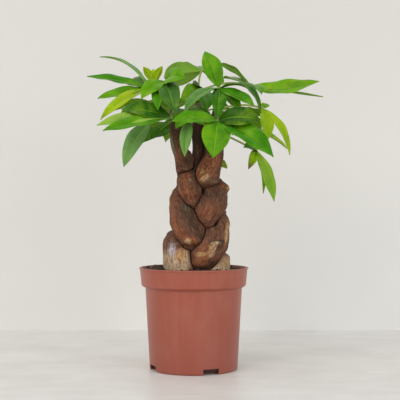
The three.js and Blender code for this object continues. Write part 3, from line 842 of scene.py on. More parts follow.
@dataclass
class Soil:
    """Potting soil up to just under the rim: a low mound round the trunk, heaps, clods, and loose crumbs.

    The side is a list of radii and heights, from the floor up. A heap is its centre, rise and spread, and
    the first of them is the mound. A relief is the size of its cells, its rise and its seed.
    """

    edge: float = 107.3
    radius: float = 55.4
    side: tuple = ((44.3, 2.3), (45.8, 4.3), (50.4, 91), (55, 94))
    heaps: tuple = (
        (4, 0, 2.4, 34),
        (-40, -6, 6, 9),
        (-49, 8, 1.6, 6),
        (46, -10, 1.2, 7),
        (40, 12, 1.5, 8),
        (-28, 30, 1.5, 9),
    )
    clod: float = 0.9
    waves: tuple = ((0.31, 0.17), (-0.12, 0.27))
    reliefs: tuple = ((7.0, 0.9, 5), (3.1, 0.7, 6), (1.6, 0.45, 7))
    noise_start: float = 60
    rows: int = 64
    sides: int = 168
    crumb_count: int = 560
    crumb_seed: int = 21
    crumb_margin: float = 3
    crumb_inmost: float = 0.02
    crumb_power: float = 0.6
    crumb_radius: tuple[float, float] = (0.5, 1.5)
    crumb_stretch: tuple[float, float] = (0.65, 1.35)
    crumb_rough: tuple[float, float] = (0.8, 1.15)
    crumb_sides: int = 6
    crumb_latitudes: tuple = (-1.25, -0.45, 0.45, 1.25)
    crumb_lift: float = 0.25
    lump_seed: int = 1000
    crumb_room: float = 0.6

    def height(self, x: Array, y: Array) -> Array:
        """The surface's height: its edge, slow waves, a bell for each heap, and noise of three sizes."""
        across, along = (a * x + b * y for a, b in self.waves)
        total = self.edge + self.clod * np.sin(across) * np.cos(along)
        for heap_x, heap_y, rise, wide in self.heaps:
            total = total + rise * bell(np.hypot(x - heap_x, y - heap_y), wide)
        for size, rise, seed in self.reliefs:
            u, v = x / size + self.noise_start, y / size + self.noise_start
            total = total + rise * soft_noise(u, v, NOISE_CELLS, seed)
        return total

    def bed(self) -> Shell:
        """The body of soil: a stepped side from the floor up, then rings from the edge in to the middle."""
        turn = bearings(self.sides)
        side = np.array(self.side)
        top = rings(np.linspace(self.radius, 1, self.rows)[:, None], 0, turn)
        top[..., 2] = self.height(top[..., 0], top[..., 1])
        return sleeve(np.concatenate([rings(side[:, :1], side[:, 1:], turn), top]), {})

    def crumbs(self, clear_of: Array) -> list[Shell]:
        """Loose crumbs on the surface, each a small ball of uneven radii.

        Args:
            clear_of: centre x, centre y and radius of each stem's foot, where no crumb lies.

        Returns:
            A shell for each crumb.
        """
        rng = np.random.default_rng(self.crumb_seed)
        share = np.sqrt(rng.uniform(self.crumb_inmost, 1, self.crumb_count))
        reach = (self.radius - self.crumb_margin) * share
        turn = rng.uniform(0, TAU, self.crumb_count)
        least, spread = self.crumb_radius
        size = least + spread * rng.power(self.crumb_power, self.crumb_count) ** 2
        stretch = rng.uniform(*self.crumb_stretch, (self.crumb_count, 3))
        x, y = reach * np.cos(turn), reach * np.sin(turn)
        away = np.hypot(x[:, None] - clear_of[:, 0], y[:, None] - clear_of[:, 1]) - clear_of[:, 2]
        place = np.column_stack([x, y, self.height(x, y) + self.crumb_lift * size])
        kept = np.flatnonzero((away > self.crumb_room).all(axis=1))
        return [sleeve(self.lump(place[i], size[i] * stretch[i], i), {}) for i in kept]

    def lump(self, centre: Array, radii: Array, number: int) -> Array:
        """Grid of a crumb: an ellipsoid of a few rings, each point moved in or out by up to a fifth."""
        latitude = np.array(self.crumb_latitudes)[:, None]
        rng = np.random.default_rng(self.lump_seed + number)
        rough = rng.uniform(*self.crumb_rough, (len(latitude), self.crumb_sides))
        ball_grid = rings(np.cos(latitude) * rough, np.sin(latitude) * rough, bearings(self.crumb_sides))
        return centre + ball_grid * radii

    def build(self, finish: bpy.types.Material, clear_of: Array) -> None:
        """Adds the bed of soil and its crumbs, whose faces are shaded flat.

        Args:
            finish: the soil's material.
            clear_of: the stems' feet.
        """
        add_piece("soil_bed", [self.bed()], [finish], "soil", ("soil",))
        faces = add_piece("soil_crumbs", self.crumbs(clear_of), [finish], "soil").data.polygons
        faces.foreach_set("use_smooth", np.zeros(len(faces), dtype=bool))


# The braided trunk


class StainAndShade(Enum):
    """What discolours the bark, and the painted shade on it, as the mark that holds it and its place there.
    """

    PALE = ("stain", 0)
    RUST = ("stain", 1)
    LILAC = ("stain", 2)
    MOSS = ("shade", 0)
    # Painted shade, at the stems' tops under the leaves and in hollows.
    DARK = ("shade", 1)


# Knots of each stem from its foot up: height, centre x, centre y and radius.
STEMS = {
    "stem_left": [
        [84, -13, -5, 16], [94, -13, -7, 17], [108, -14, -8, 18], [120, -16, -5, 18], [129, -16, -1, 18],
        [138, -13, 4, 18], [146, -7, 9, 16], [152, 0, 7, 15], [159, 8, 1, 15], [167, 13, -5, 15],
        [176, 18, -9, 16], [184, 21, -7, 15], [192, 22, -2, 14], [199, 18, 3, 14], [206, 11, 7, 14],
        [213, 2, 5, 13], [222, -7, -2, 10], [232, -13, -8, 8], [244, -17, -7, 8], [262, -19, -4, 7],
        [276, -20.5, -3, 6.5],
    ],
    "stem_centre": [
        [84, 1, 4, 14], [94, 3, 1, 14], [103, 5, -2, 14], [110, 8, -5, 14], [117, 10, -9, 16],
        [125, 14, -11, 16], [135, 20, -9, 16], [145, 23, -5, 16], [154, 23, 0, 16], [162, 19, 4, 17],
        [170, 12, 7, 16], [178, 2, 2, 14], [186, -1, -5, 11], [195, -4, -10, 13], [207, -5, -5, 13],
        [219, 0, 1, 10], [230, 5, 8, 9], [243, 7, 8, 9], [262, 6, 9, 8], [280, 6.5, 9, 7],
    ],
    "stem_right": [
        [84, 22, 3, 15], [94, 23, 1, 16], [105, 22, 0, 18], [113, 21, 4, 18], [120, 17, 7, 18],
        [127, 10, 7, 17], [135, 2, 1, 16], [143, -1, -6, 16], [153, -5, -10, 17], [162, -9, -9, 16],
        [170, -11, -5, 15], [178, -12, 0, 15], [185, -11, 5, 15], [192, -7, 7, 14], [199, 0, 4, 14],
        [207, 9, -3, 14], [220, 17, -8, 12], [236, 22, -5, 11], [254, 20, -3, 9.5], [272, 20.5, -2, 8],
    ],
}
# Slow lumps of the bark: rise, lobes round the stem, and height over which they turn by one radian.
LUMPS = [(0.35, 3, 9), (0.3, 2, -6)]
# Fine relief: cells round the stem, height of a cell, and rise.
RELIEFS = [(9, 16, 0.30), (26, 9, 0.16), (58, 5, 0.11)]
# Knots and pruning scars: stem, height, bearing in degrees, rise and spread.
SCARS = [
    ("stem_left", 198.5, -12, 2.4, 4.5),
    ("stem_left", 234, 10, 4.5, 6),
    ("stem_right", 209.5, -90, 1.6, 5),
    ("stem_centre", 136, -71, 2.2, 7),
    ("stem_right", 141.5, -113, 1.4, 4),
    ("stem_centre", 208, -114, 1.2, 4),
    ("stem_left", 150, 80, 2.2, 6),
    ("stem_right", 182, 100, 2.4, 5),
]
# Stains and painted shade by stem and kind: height, bearing in degrees, half height, half width and strength.
# The DARK patches are painted shade, at the stems' tops under the leaves and in hollows.
PATCHES = {
    "stem_left": {
        StainAndShade.PALE: [
            (116, -140, 13, 24, 1.3), (121, -76, 10, 6, 1.2), (198, -24, 2.4, 3.0, 1.1),
            (242, 186, 7, 4, 0.5),
        ],
        StainAndShade.RUST: [
            (125, -82, 8, 5, 1.3), (199, -22, 5, 6, 1.9), (172, -100, 9, 12, 0.6), (232, -120, 10, 5, 0.5),
        ],
        StainAndShade.LILAC: [(138, -118, 8, 9, 0.35), (129, -114, 5.5, 4.0, 1.25), (114, -140, 9, 7, 0.4)],
        StainAndShade.MOSS: [(193, -108, 6, 7, 0.25), (244, 188, 11, 7, 1.3)],
        StainAndShade.DARK: [
            (141, -100, 7, 4, 0.7), (204, -42, 3.5, 6, 1.2), (192, -100, 7, 12, 0.9),
            (262, -90, 26, 60, 0.9), (226, -88, 7, 7, 0.9),
        ],
    },
    "stem_centre": {
        StainAndShade.PALE: [
            (149, -39, 11, 3.4, 1.5), (135, -90, 4.0, 2.6, 1.4), (130, -79, 4.5, 2.6, 1.2),
            (125.5, -70, 3.0, 2.4, 0.9), (138.5, -80, 1.8, 4.0, 1.1), (126.5, -117, 2.6, 5.6, 1.4),
            (206.5, -86, 1.8, 1.4, 0.9), (197, -150, 6, 2.5, 0.5),
        ],
        StainAndShade.RUST: [
            (149, -36, 13, 3.6, 1.5), (131, -84, 8, 4, 0.5), (126.5, -114, 4, 9, 1.1),
            (133, -104, 4, 4, 1.3), (117, -112, 5, 12, 0.9), (210, -122, 4.5, 4.5, 1.5),
            (192, -112, 10, 9, 0.8), (209, -104, 3, 3, 1.3),
        ],
        StainAndShade.LILAC: [(129, -48, 6, 5, 0.36), (155, -90, 8, 8, 0.16)],
        StainAndShade.MOSS: [(182, -88, 4, 5, 0.22)],
        StainAndShade.DARK: [
            (140.5, -60, 1.3, 7, 1.8), (133, -68, 3.5, 1.1, 1.1), (152, -88, 9, 8, 0.45),
            (115, -60, 4, 10, 0.8), (198, -52, 7, 5, 0.8), (252, -90, 34, 60, 1.2), (218, -90, 8, 60, 0.9),
        ],
    },
    "stem_right": {
        StainAndShade.PALE: [
            (108, -50, 19, 34, 1.2), (209, -84, 3.6, 3.2, 1.5), (215, -118, 2.6, 2.8, 1.3),
            (140.5, -106, 2.8, 2.2, 1.7),
        ],
        StainAndShade.RUST: [
            (117, -45, 9, 14, 0.6), (222, -115, 8, 9, 2.0), (226, -62, 9, 7, 0.8), (208.5, -86, 5, 5, 0.7),
            (216, -124, 5, 5, 0.9), (140, -92, 4, 4, 1.6), (149, -124, 7, 6, 0.9), (172, -150, 22, 5, 0.9),
        ],
        StainAndShade.LILAC: [(163, -98, 8, 9, 0.22)],
        StainAndShade.MOSS: [(205, -60, 4, 6, 0.35), (176, -78, 7, 6, 0.30)],
        StainAndShade.DARK: [
            (124, -20, 6, 3, 0.8), (204, -56, 4, 6, 0.5), (172, -70, 9, 7, 1.0), (156, -60, 11, 7, 1.1),
            (135, -88, 5, 8, 0.8), (178, -80, 6, 6, 0.9), (250, -110, 20, 40, 0.9),
        ],
    },
}


def along_knots(knots: Array, z: Array) -> tuple[Array, Array]:
    """Smooth values and slopes of a knot list at heights, by cubic spans.

    Each span is 2t^3-3t^2+1 of its first value, the rest of its last, and t^3-2t^2+t and t^3-t^2 of the
    slopes there. A knot's slope is that of the line through the knots on both sides.

    Args:
        knots: height, then the values, a row for each knot.
        z: heights.

    Returns:
        The values and their rates of change with height, a row for each height.
    """
    heights, values = knots[:, 0], knots[:, 1:]
    index = np.arange(len(knots))
    low, high = np.maximum(index - 1, 0), np.minimum(index + 1, len(knots) - 1)
    slopes = (values[high] - values[low]) / (heights[high] - heights[low])[:, None]
    i = np.clip(np.searchsorted(heights, z, side="left") - 1, 0, len(knots) - 2)
    span = (heights[i + 1] - heights[i])[:, None]
    t = np.clip((z - heights[i])[:, None] / span, 0, 1)
    p, q, m, n = values[i], values[i + 1], slopes[i] * span, slopes[i + 1] * span
    ends = (2 * t**3 - 3 * t**2 + 1) * p + (3 * t**2 - 2 * t**3) * q
    value = ends + (t**3 - 2 * t**2 + t) * m + (t**3 - t**2) * n
    rate = ((6 * t**2 - 6 * t) * (p - q) + (3 * t**2 - 4 * t + 1) * m + (3 * t**2 - 2 * t) * n) / span
    return value, rate


@dataclass
class StemLine:
    """A stem's centres, directions and radii at a list of heights."""

    centre: Array
    along: Array
    radius: Array

    @classmethod
    def of(cls, name: str, z: Array) -> "StemLine":
        """The line of a named stem at heights."""
        value, rate = along_knots(np.array(STEMS[name], dtype=float), z)
        centre = np.column_stack([value[:, :2], z])
        along = unit(np.column_stack([rate[:, :2], np.ones_like(z)]))
        return cls(centre[:, None], along[:, None], value[:, 2:3])

    def outside(self, points: Array) -> Array:
        """How far points lie outside the round bark: their distance from the line, less the radius."""
        return np.linalg.norm(np.cross(points - self.centre, self.along), axis=-1) - self.radius


@dataclass
class Braid:
    """Three woody stems that wind round each other and press together in creases."""

    step: float = 0.8
    sides: int = 120
    gap: float = 0.3
    rounding: float = 1.6
    march: int = 14
    halvings: int = 16
    least: float = 1.0
    scar_radius: float = 15
    dimple: tuple[float, float] = (0.33, 0.32)
    scar_ring: tuple[float, float, float] = (0.132, 0.62, 0.2)
    wrinkle: tuple[int, float, float] = (5, 1.7, 0.10)
    drift: float = 0.6
    dome: float = 3.5
    dome_least: float = 0.02
    crease_shade: float = 1.1
    soil_height: float = 109
    seed: int = 31
    seed_step: int = 10
    drift_cells: tuple[int, float] = (7, 3)
    pattern_shift: float = 40

    def swelling(self, name: str, z: Array, bearing: Array) -> Array:
        """What lumps, scars and fine relief add to a stem's radius.

        Lumps are rise sin(lobes bearing + z / pitch). A scar is a bell, less a dimple of some depth and
        width in its middle, with a ring of some rise, place and width round that, all as shares of the bell.
        The fine relief is smooth noise drawn out along the stem, in three sizes, and wrinkles lie across it.
        """
        total = sum(rise * np.sin(lobes * bearing + z / pitch) for rise, lobes, pitch in LUMPS)
        for stem, height, degrees, rise, spread in SCARS:
            if stem == name:
                across = self.turn_from(bearing, degrees) * self.scar_radius / spread
                up = (z - height) / spread
                away = np.hypot(across, up)
                depth, size = self.dimple
                ring_rise, ring_place, ring_width = self.scar_ring
                ring = ring_rise * bell(away - ring_place, ring_width)
                total = total + rise * (bell(away, 1) - depth * bell(away, size) + ring)
        seed = self.seed + self.seed_step * list(STEMS).index(name)
        around, column = self.drift_cells
        for cells, tall, rise in RELIEFS:
            share = bearing / TAU * cells
            drift = self.drift * soft_noise(share * 0 + column, z / (tall * 2), around, seed + 1)
            total = total + rise * soft_noise(share + drift, z / tall, cells, seed + cells)
        cells, tall, rise = self.wrinkle
        return total + rise * soft_noise(bearing / TAU * cells, z / tall, cells, seed + cells)

    @staticmethod
    def turn_from(bearing: Array, degrees: float) -> Array:
        """Signed turn from a bearing in degrees, between minus and plus half a turn."""
        return np.mod(bearing - math.radians(degrees) + math.pi, TAU) - math.pi

    def first_rise(self, own: StemLine, beside: StemLine, out: Array, limit: Array) -> Array:
        """How far out from a stem's centre the surface midway to its neighbour lies.

        The walk goes out in even steps until a point lies nearer to the neighbour's bark than to its own,
        and then halves that step. Where that doesn't happen, the answer is twice the limit.

        Args:
            own: the stem's line.
            beside: the neighbour's line.
            out: level unit directions.
            limit: how far the walk goes.

        Returns:
            The lengths, rows by columns.
        """

        def crowded(reach: Array) -> Array:
            """Whether points at a reach lie on the neighbour's side."""
            points = own.centre + out * reach[..., None]
            return own.outside(points) - beside.outside(points) + self.gap > 0

        hits = np.stack([crowded(limit * k / self.march) for k in range(1, self.march + 1)])
        first = np.argmax(hits, axis=0) + 1
        low, high = limit * (first - 1) / self.march, limit * first / self.march
        for _ in range(self.halvings):
            middle = (low + high) / 2
            past = crowded(middle)
            high, low = np.where(past, middle, high), np.where(past, low, middle)
        return np.where(hits.any(axis=0), low, 2 * limit)

    def shell(self, name: str) -> Shell:
        """One stem as a stack of level sections, with its place on the straightened stem, its stains and its
        painted shade.
        """
        foot, top = STEMS[name][0][0], STEMS[name][-1][0]
        z = np.linspace(foot, top, round((top - foot) / self.step) + 1)
        bearing = bearings(self.sides)[None, :]
        own = StemLine.of(name, z)
        out = rings(1, 0, bearing)
        slant = np.sqrt(1 - (out * own.along).sum(axis=-1) ** 2)
        free = (own.radius + self.swelling(name, z[:, None], bearing)) / slant
        reach, room = free, np.full_like(free, np.inf)
        for other in STEMS:
            if other != name:
                limit = self.first_rise(own, StemLine.of(other, z), out, reach + self.rounding)
                room = np.minimum(room, limit - free)
                reach = soft_min(reach, limit, self.rounding)
        reach = np.maximum(reach, self.least)
        rise = np.clip((z - (top - self.dome)) / self.dome, 0, 1)[:, None]
        reach = reach * np.sqrt(np.maximum(1 - rise**2, self.dome_least))
        grid = own.centre + out * reach[..., None]
        marks = self.stains(name, z[:, None], bearing, own)
        # Painted shade: strongest in the creases, where a neighbouring stem is near.
        marks["shade"][..., 2] = np.exp(-np.maximum(room, 0) / self.crease_shade)
        return sleeve(grid, marks)

    def stains(self, name: str, z: Array, bearing: Array, own: StemLine) -> dict[str, Array]:
        """Marks of a stem: its place on the straightened stem, and a bell of colour for each stain and each
        patch of painted shade.

        Args:
            name: the stem.
            z: heights, as a column.
            bearing: bearings, as a row.
            own: the stem's line.

        Returns:
            The marks straight, stain and shade; the shade mark holds moss and painted shade.
        """
        shape = (len(z), bearing.shape[1], 3)
        marks = {mark: np.zeros(shape) for mark in ("straight", "stain", "shade")}
        run = np.linalg.norm(np.diff(own.centre[:, 0], axis=0), axis=1)
        length = np.concatenate([[0.0], np.cumsum(run)])[:, None]
        shift = self.pattern_shift * list(STEMS).index(name)
        marks["straight"][:] = rings(own.radius, length, bearing) + (shift, 0, 0)
        for kind, patches in PATCHES[name].items():
            mark, column = kind.value
            for height, degrees, tall, wide, strength in patches:
                across = self.turn_from(bearing, degrees) * own.radius / wide
                marks[mark][..., column] += strength * bell(np.hypot(across, (z - height) / tall), 1)
        return marks

    def feet(self) -> Array:
        """Centre x, centre y and radius of each stem where it leaves the soil."""
        lines = [StemLine.of(name, np.array([self.soil_height])) for name in STEMS]
        return np.array([[*line.centre[0, 0, :2], line.radius[0, 0]] for line in lines])

    def build(self, finish: bpy.types.Material) -> None:
        """Adds the three stems and the dead stub between two of them.

        Args:
            finish: the bark.
        """
        for name in STEMS:
            add_piece(f"{name}_bark", [self.shell(name)], [finish], "bark", (name,))
        add_piece("dead_stub", [DeadStub().shell()], [finish], "bark")


@dataclass
class DeadStub:
    """A short dead stub between the stems: a tapering tube of uneven radius, dark all over with painted
    shade.
    """

    foot: Point = (-4, -5, 222)
    bend: Point = (-6.5, -7, 232)
    top: Point = (-7.2, -6, 242)
    radius: float = 3.6
    tip_radius: float = 0.5
    taper: float = 2.2
    rows: int = 14
    sides: int = 18
    waves: tuple = ((0.12, 3, 0), (0.06, 5, 7))
    # How much of the painted shade of the creases the stub carries.
    painted_crease_shade: float = 0.55

    def shell(self) -> Shell:
        """The stub as level rings, whose radii wave: each wave is its rise, its lobes and how it winds."""
        t = np.linspace(0, 1, self.rows)
        turn = bearings(self.sides)
        line = bezier(self.foot, self.bend, self.top, t)
        radii = self.radius * (1 - t**self.taper) + self.tip_radius
        uneven = 1 + sum(rise * np.sin(lobes * turn + wind * t[:, None]) for rise, lobes, wind in self.waves)
        grid = line[:, None] + rings(radii[:, None] * uneven, 0, turn)
        shape = grid.shape[:2]
        marks = {
            "straight": grid,
            "stain": side_by_side(shape, 0, 0, 0),
            # Painted shade all over: the full shade of the DARK patches and part of the shade of the creases.
            "shade": side_by_side(shape, 0, 1, self.painted_crease_shade),
        }
        return sleeve(grid, marks)


# Shoots and leaves


# Knots of each shoot from its foot up: x, y, z and radius.
SHOOTS = {
    "shoot_left": [[-20.5, -3, 270, 4.2], [-23, -5, 288, 3.6], [-25, -5, 303, 2.8]],
    "shoot_centre": [[6.5, 9, 274, 4.4], [5, 12, 293, 3.8], [5, 15, 312, 2.8]],
    "shoot_right": [[20.5, -2, 266, 4.4], [24, -5, 281, 3.8], [28, -6, 295, 2.8]],
}


@dataclass
class Shoots:
    """The green shoots on top of the stems, with the ring scars of fallen leaves."""

    sides: int = 28
    rows: int = 60
    scar_pitch: float = 6.5
    scar_rise: float = 0.10
    scar_width: float = 0.08
    slimming: float = 0.03
    rounding: tuple[float, float] = (0.94, 1.03)
    tip_least: float = 0.02
    tone: Point = (0.15, 0.35, 0)

    def shell(self, knots: list[list[float]]) -> Shell:
        """A tube on the parabola through a shoot's three knots, its radius through theirs, with rings."""
        k = np.array(knots, dtype=float)
        t = np.linspace(0, 1, self.rows)
        line = bezier(k[0], 2 * k[1] - (k[0] + k[2]) / 2, k[2], t)
        ring = np.abs(np.mod(line[:, 2] / self.scar_pitch, 1) - 0.5)
        radii = line[:, 3] * (1 + self.scar_rise * bell(ring, self.scar_width) - self.slimming)
        radii = radii * np.sqrt(np.maximum(1 - smooth_step(*self.rounding, t) ** 2, self.tip_least))
        return tube(line[:, :3], radii, self.sides, self.tone)

    def build(self, finish: bpy.types.Material) -> None:
        """Adds the three shoots.

        Args:
            finish: the green bark.
        """
        for name, knots in SHOOTS.items():
            add_piece(f"{name}_skin", [self.shell(knots)], [finish], "shoot", (name,))


# Each leaf: where its stalk leaves the shoot, the point that it bends towards, the hub where its leaflets
# meet, and for each leaflet its tip's x, y and z, its width, its arch as a share of its length, its roll in
# degrees and its age from 0 to 1, and where there is any, its painted sheen, a pale veil of reflected light,
# and the dryness of its tip.
LEAVES = {
    "leaf_front_right": (
        ((26, -6, 288), (28, -22, 304), (27, -45, 302)),
        [
            (12, -33, 343, 21, 0.06, -25, 0.58),
            (70, -62, 274, 17, 0.3, 0, 0.20),
            (62, -82, 280, 17, 0.03, 20, 0.50),
            (49, -52, 277, 16, 0.08, 20, 0.62),
            (24, -78, 267, 16, 0.12, 0, 0.30),
            (-9, -84, 273, 19, 0.1, 12, 0.35, 0.30),
        ],
    ),
    "leaf_front_low": (
        ((23, -5, 276), (25, -40, 278), (25, -74, 265)),
        [
            (80, -100, 227, 27, 0.1, 25, 0.50),
            (20, -101, 226, 29, 0.12, 0, 0.60),
            (68, -88, 265, 24, 0.12, 40, 0.12),
            (-21, -95, 263, 20, 0.08, -18, 0.55),
        ],
    ),
    "leaf_right_far": (
        ((6, 14, 306), (38, 18, 322), (63, 25, 313)),
        [
            (137, -5, 315, 25, -0.09, 58, 0.72),
            (147, 38, 303, 10, 0, 12, 0.40, 0.3, 0.2),
            (74, -12, 300, 16, 0.1, 20, 0.55),
            (27, 62, 344, 16, 0.06, 8, 0.40, 0.6),
            (34, 70, 329, 18, 0.04, -30, 0.40, 1.0),
        ],
    ),
    "leaf_right_drooping": (
        ((21, -4, 262), (42, -14, 252), (67, -25, 238)),
        [
            (86, -32, 183, 15, 0.06, 40, 0.76, 0.15),
            (76, -10, 192, 10, 0.05, 0, 0.70),
            (53, -45, 240, 13, 0.1, -20, 0.30),
            (58, -38, 217, 10, 0.3, 0, 0.80, 0, 0.70),
        ],
    ),
    "leaf_right_young": (
        ((27, -4, 284), (54, 4, 294), (76, 5, 286)),
        [
            (80, -20, 250, 16, 0.08, 25, 0.80),
            (105, -8, 234, 12, 0.14, 40, 0.86, 0, 0.1),
            (82, 16, 292, 9, 0.05, 0, 0.70),
        ],
    ),
    "leaf_left_far": (
        ((-24, -3, 298), (-34, 4, 312), (-49, 10, 308)),
        [
            (-109, 55, 351, 10, 0.12, 10, 0.40, 0.6, 0.2),
            (-119, 15, 323, 18, 0.03, -32, 0.48, 0, 0.2),
            (-76, 50, 319, 18, 0.12, -22, 0.30, 0.3),
            (-104, -15, 295, 20, 0.01, -42, 0.62),
            (-99, -35, 270, 17, 0.08, -38, 0.90),
        ],
    ),
    "leaf_left_low": (
        ((-22, -6, 282), (-22, -26, 280), (-23, -40, 272)),
        [
            (-100, -60, 262, 23, 0.04, -25, 0.80, 0.35),
            (-92, -78, 255, 21, 0.02, -26, 0.55),
            (-76, -46, 280, 23, 0.06, -34, 0.20),
        ],
    ),
    "leaf_left_hanging": (
        ((-21, -1, 280), (-36, 2, 284), (-46, -2, 272)),
        [
            (-75, -25, 220, 21, 0.12, -45, 0.34, 0.60),
            (-72, 26, 268, 18, 0.1, 0, 0.40),
            (-48, -8, 250, 14, 0.1, 0, 0.40),
        ],
    ),
    "leaf_top": (
        ((5, 16, 310), (6, 22, 326), (9, 30, 331)),
        [
            (-33, 8, 321, 27, 0.14, 55, 0.45, 0.70),
            (34, 46, 318, 18, 0.1, 0, 0.40, 0.2),
            (21, 90, 338, 18, 0.06, 0, 0.45, 0.2),
            (-19, 75, 343, 18, 0.05, 0, 0.45, 0.2),
        ],
    ),
    "leaf_middle": (
        ((5, 9, 296), (8, 0, 306), (10, -7, 303)),
        [
            (-14, -46, 288, 23, 0.12, -38, 0.68),
            (-1, -29, 309, 16, 0.06, -20, 0.08),
            (14, -42, 279, 19, 0.1, 0, 0.35),
            (-6, -42, 281, 16, 0.1, -10, 0.45),
        ],
    ),
    "leaf_crown_middle": (
        ((5.5, 9, 284), (0, -6, 294), (-6, -20, 281)),
        [
            (-36, -28, 260, 18, 0.02, 0, 0.50),
            (-18, -46, 268, 17, 0.12, 0, 0.62),
            (9, -45, 268, 17, 0.12, 0, 0.66),
            (19, -24, 275, 18, 0.1, 0, 0.58),
        ],
    ),
    "leaf_left_upper": (
        ((-25, -7, 300), (-28, -14, 312), (-30, -20, 312)),
        [
            (-8, -52, 312, 22, 0.15, 34, 0.62),
            (-18, -63, 274, 22, 0.12, 0, 0.20, 0.12),
            (-37, -52, 278, 16, 0.12, 0, 0.50),
            (-55, -45, 291, 20, 0.12, -30, 0.65),
        ],
    ),
    "leaf_left_tuft": (
        ((-25, -4, 302), (-36, -4, 312), (-43, -5, 313)),
        [
            (-55, -10, 330, 9, 0.05, 30, 0.97),
            (-34, -7, 331, 10, 0.05, -50, 1.0),
            (-45, 8, 330, 9, 0.05, 20, 0.95),
            (-50, -24, 303, 14, 0.1, -30, 0.92),
            (-37, -23, 305, 12, 0.1, 0, 0.85),
        ],
    ),
    "leaf_front_small": (
        ((-18, -6, 274), (-6, -26, 276), (-4, -45, 270)),
        [
            (-9, -63, 229, 13, 0.12, 0, 0.60, 0.60),
            (-18, -68, 258, 13, 0.1, -15, 0.55),
            (12, -62, 262, 13, 0.1, 15, 0.60, 0.2),
        ],
    ),
    "leaf_back_left": (
        ((-22, 0, 290), (-38, 28, 304), (-50, 46, 298)),
        [
            (-108, 58, 280, 22, 0.1, 0, 0.45),
            (-88, 94, 276, 22, 0.1, 0, 0.40, 0.1),
            (-46, 108, 276, 22, 0.1, 0, 0.50),
            (-12, 90, 280, 20, 0.1, 0, 0.42),
        ],
    ),
    "leaf_back": (
        ((6, 14, 288), (0, 44, 306), (-4, 64, 300)),
        [
            (-30, 118, 292, 22, 0.1, 0, 0.52),
            (8, 126, 288, 23, 0.1, 0, 0.48, 0.15),
            (44, 100, 292, 21, 0.1, 0, 0.40),
        ],
    ),
    "leaf_back_right": (
        ((8, 12, 282), (32, 36, 294), (46, 52, 284)),
        [
            (86, 58, 280, 22, 0.1, 0, 0.50),
            (80, 96, 264, 22, 0.1, 0, 0.42),
            (46, 112, 264, 22, 0.1, 0, 0.55, 0.1),
            (10, 94, 268, 20, 0.1, 0, 0.35),
        ],
    ),
    "leaf_right_low": (
        ((24, 0, 272), (46, 20, 274), (64, 30, 264)),
        [
            (105, 25, 243, 16, 0.08, 25, 0.86),
            (86, 66, 255, 20, 0.1, 0, 0.60),
            (61, 84, 256, 20, 0.1, 0, 0.55),
        ],
    ),
    "leaf_left_shaded": (
        ((-21, 0, 276), (-18, 18, 280), (-14, 26, 270)),
        [
            (-57, 12, 249, 24, 0.03, -48, 0.36),
            (-66, 48, 254, 21, 0.1, 0, 0.40),
            (-34, 78, 254, 20, 0.1, 0, 0.45),
            (10, 74, 252, 18, 0.1, 0, 0.40),
        ],
    ),
}
YOUNG = ("leaf_left_tuft", "leaf_right_young", "leaf_right_drooping", "leaf_right_low")
# The tip of a small young leaf: its root, tip, width, arch, roll, age and painted sheen.
SPROUT = ((21, 4, 227), (37, 0, 219.5), 12, 0.1, 45, 1.0, 0.1)


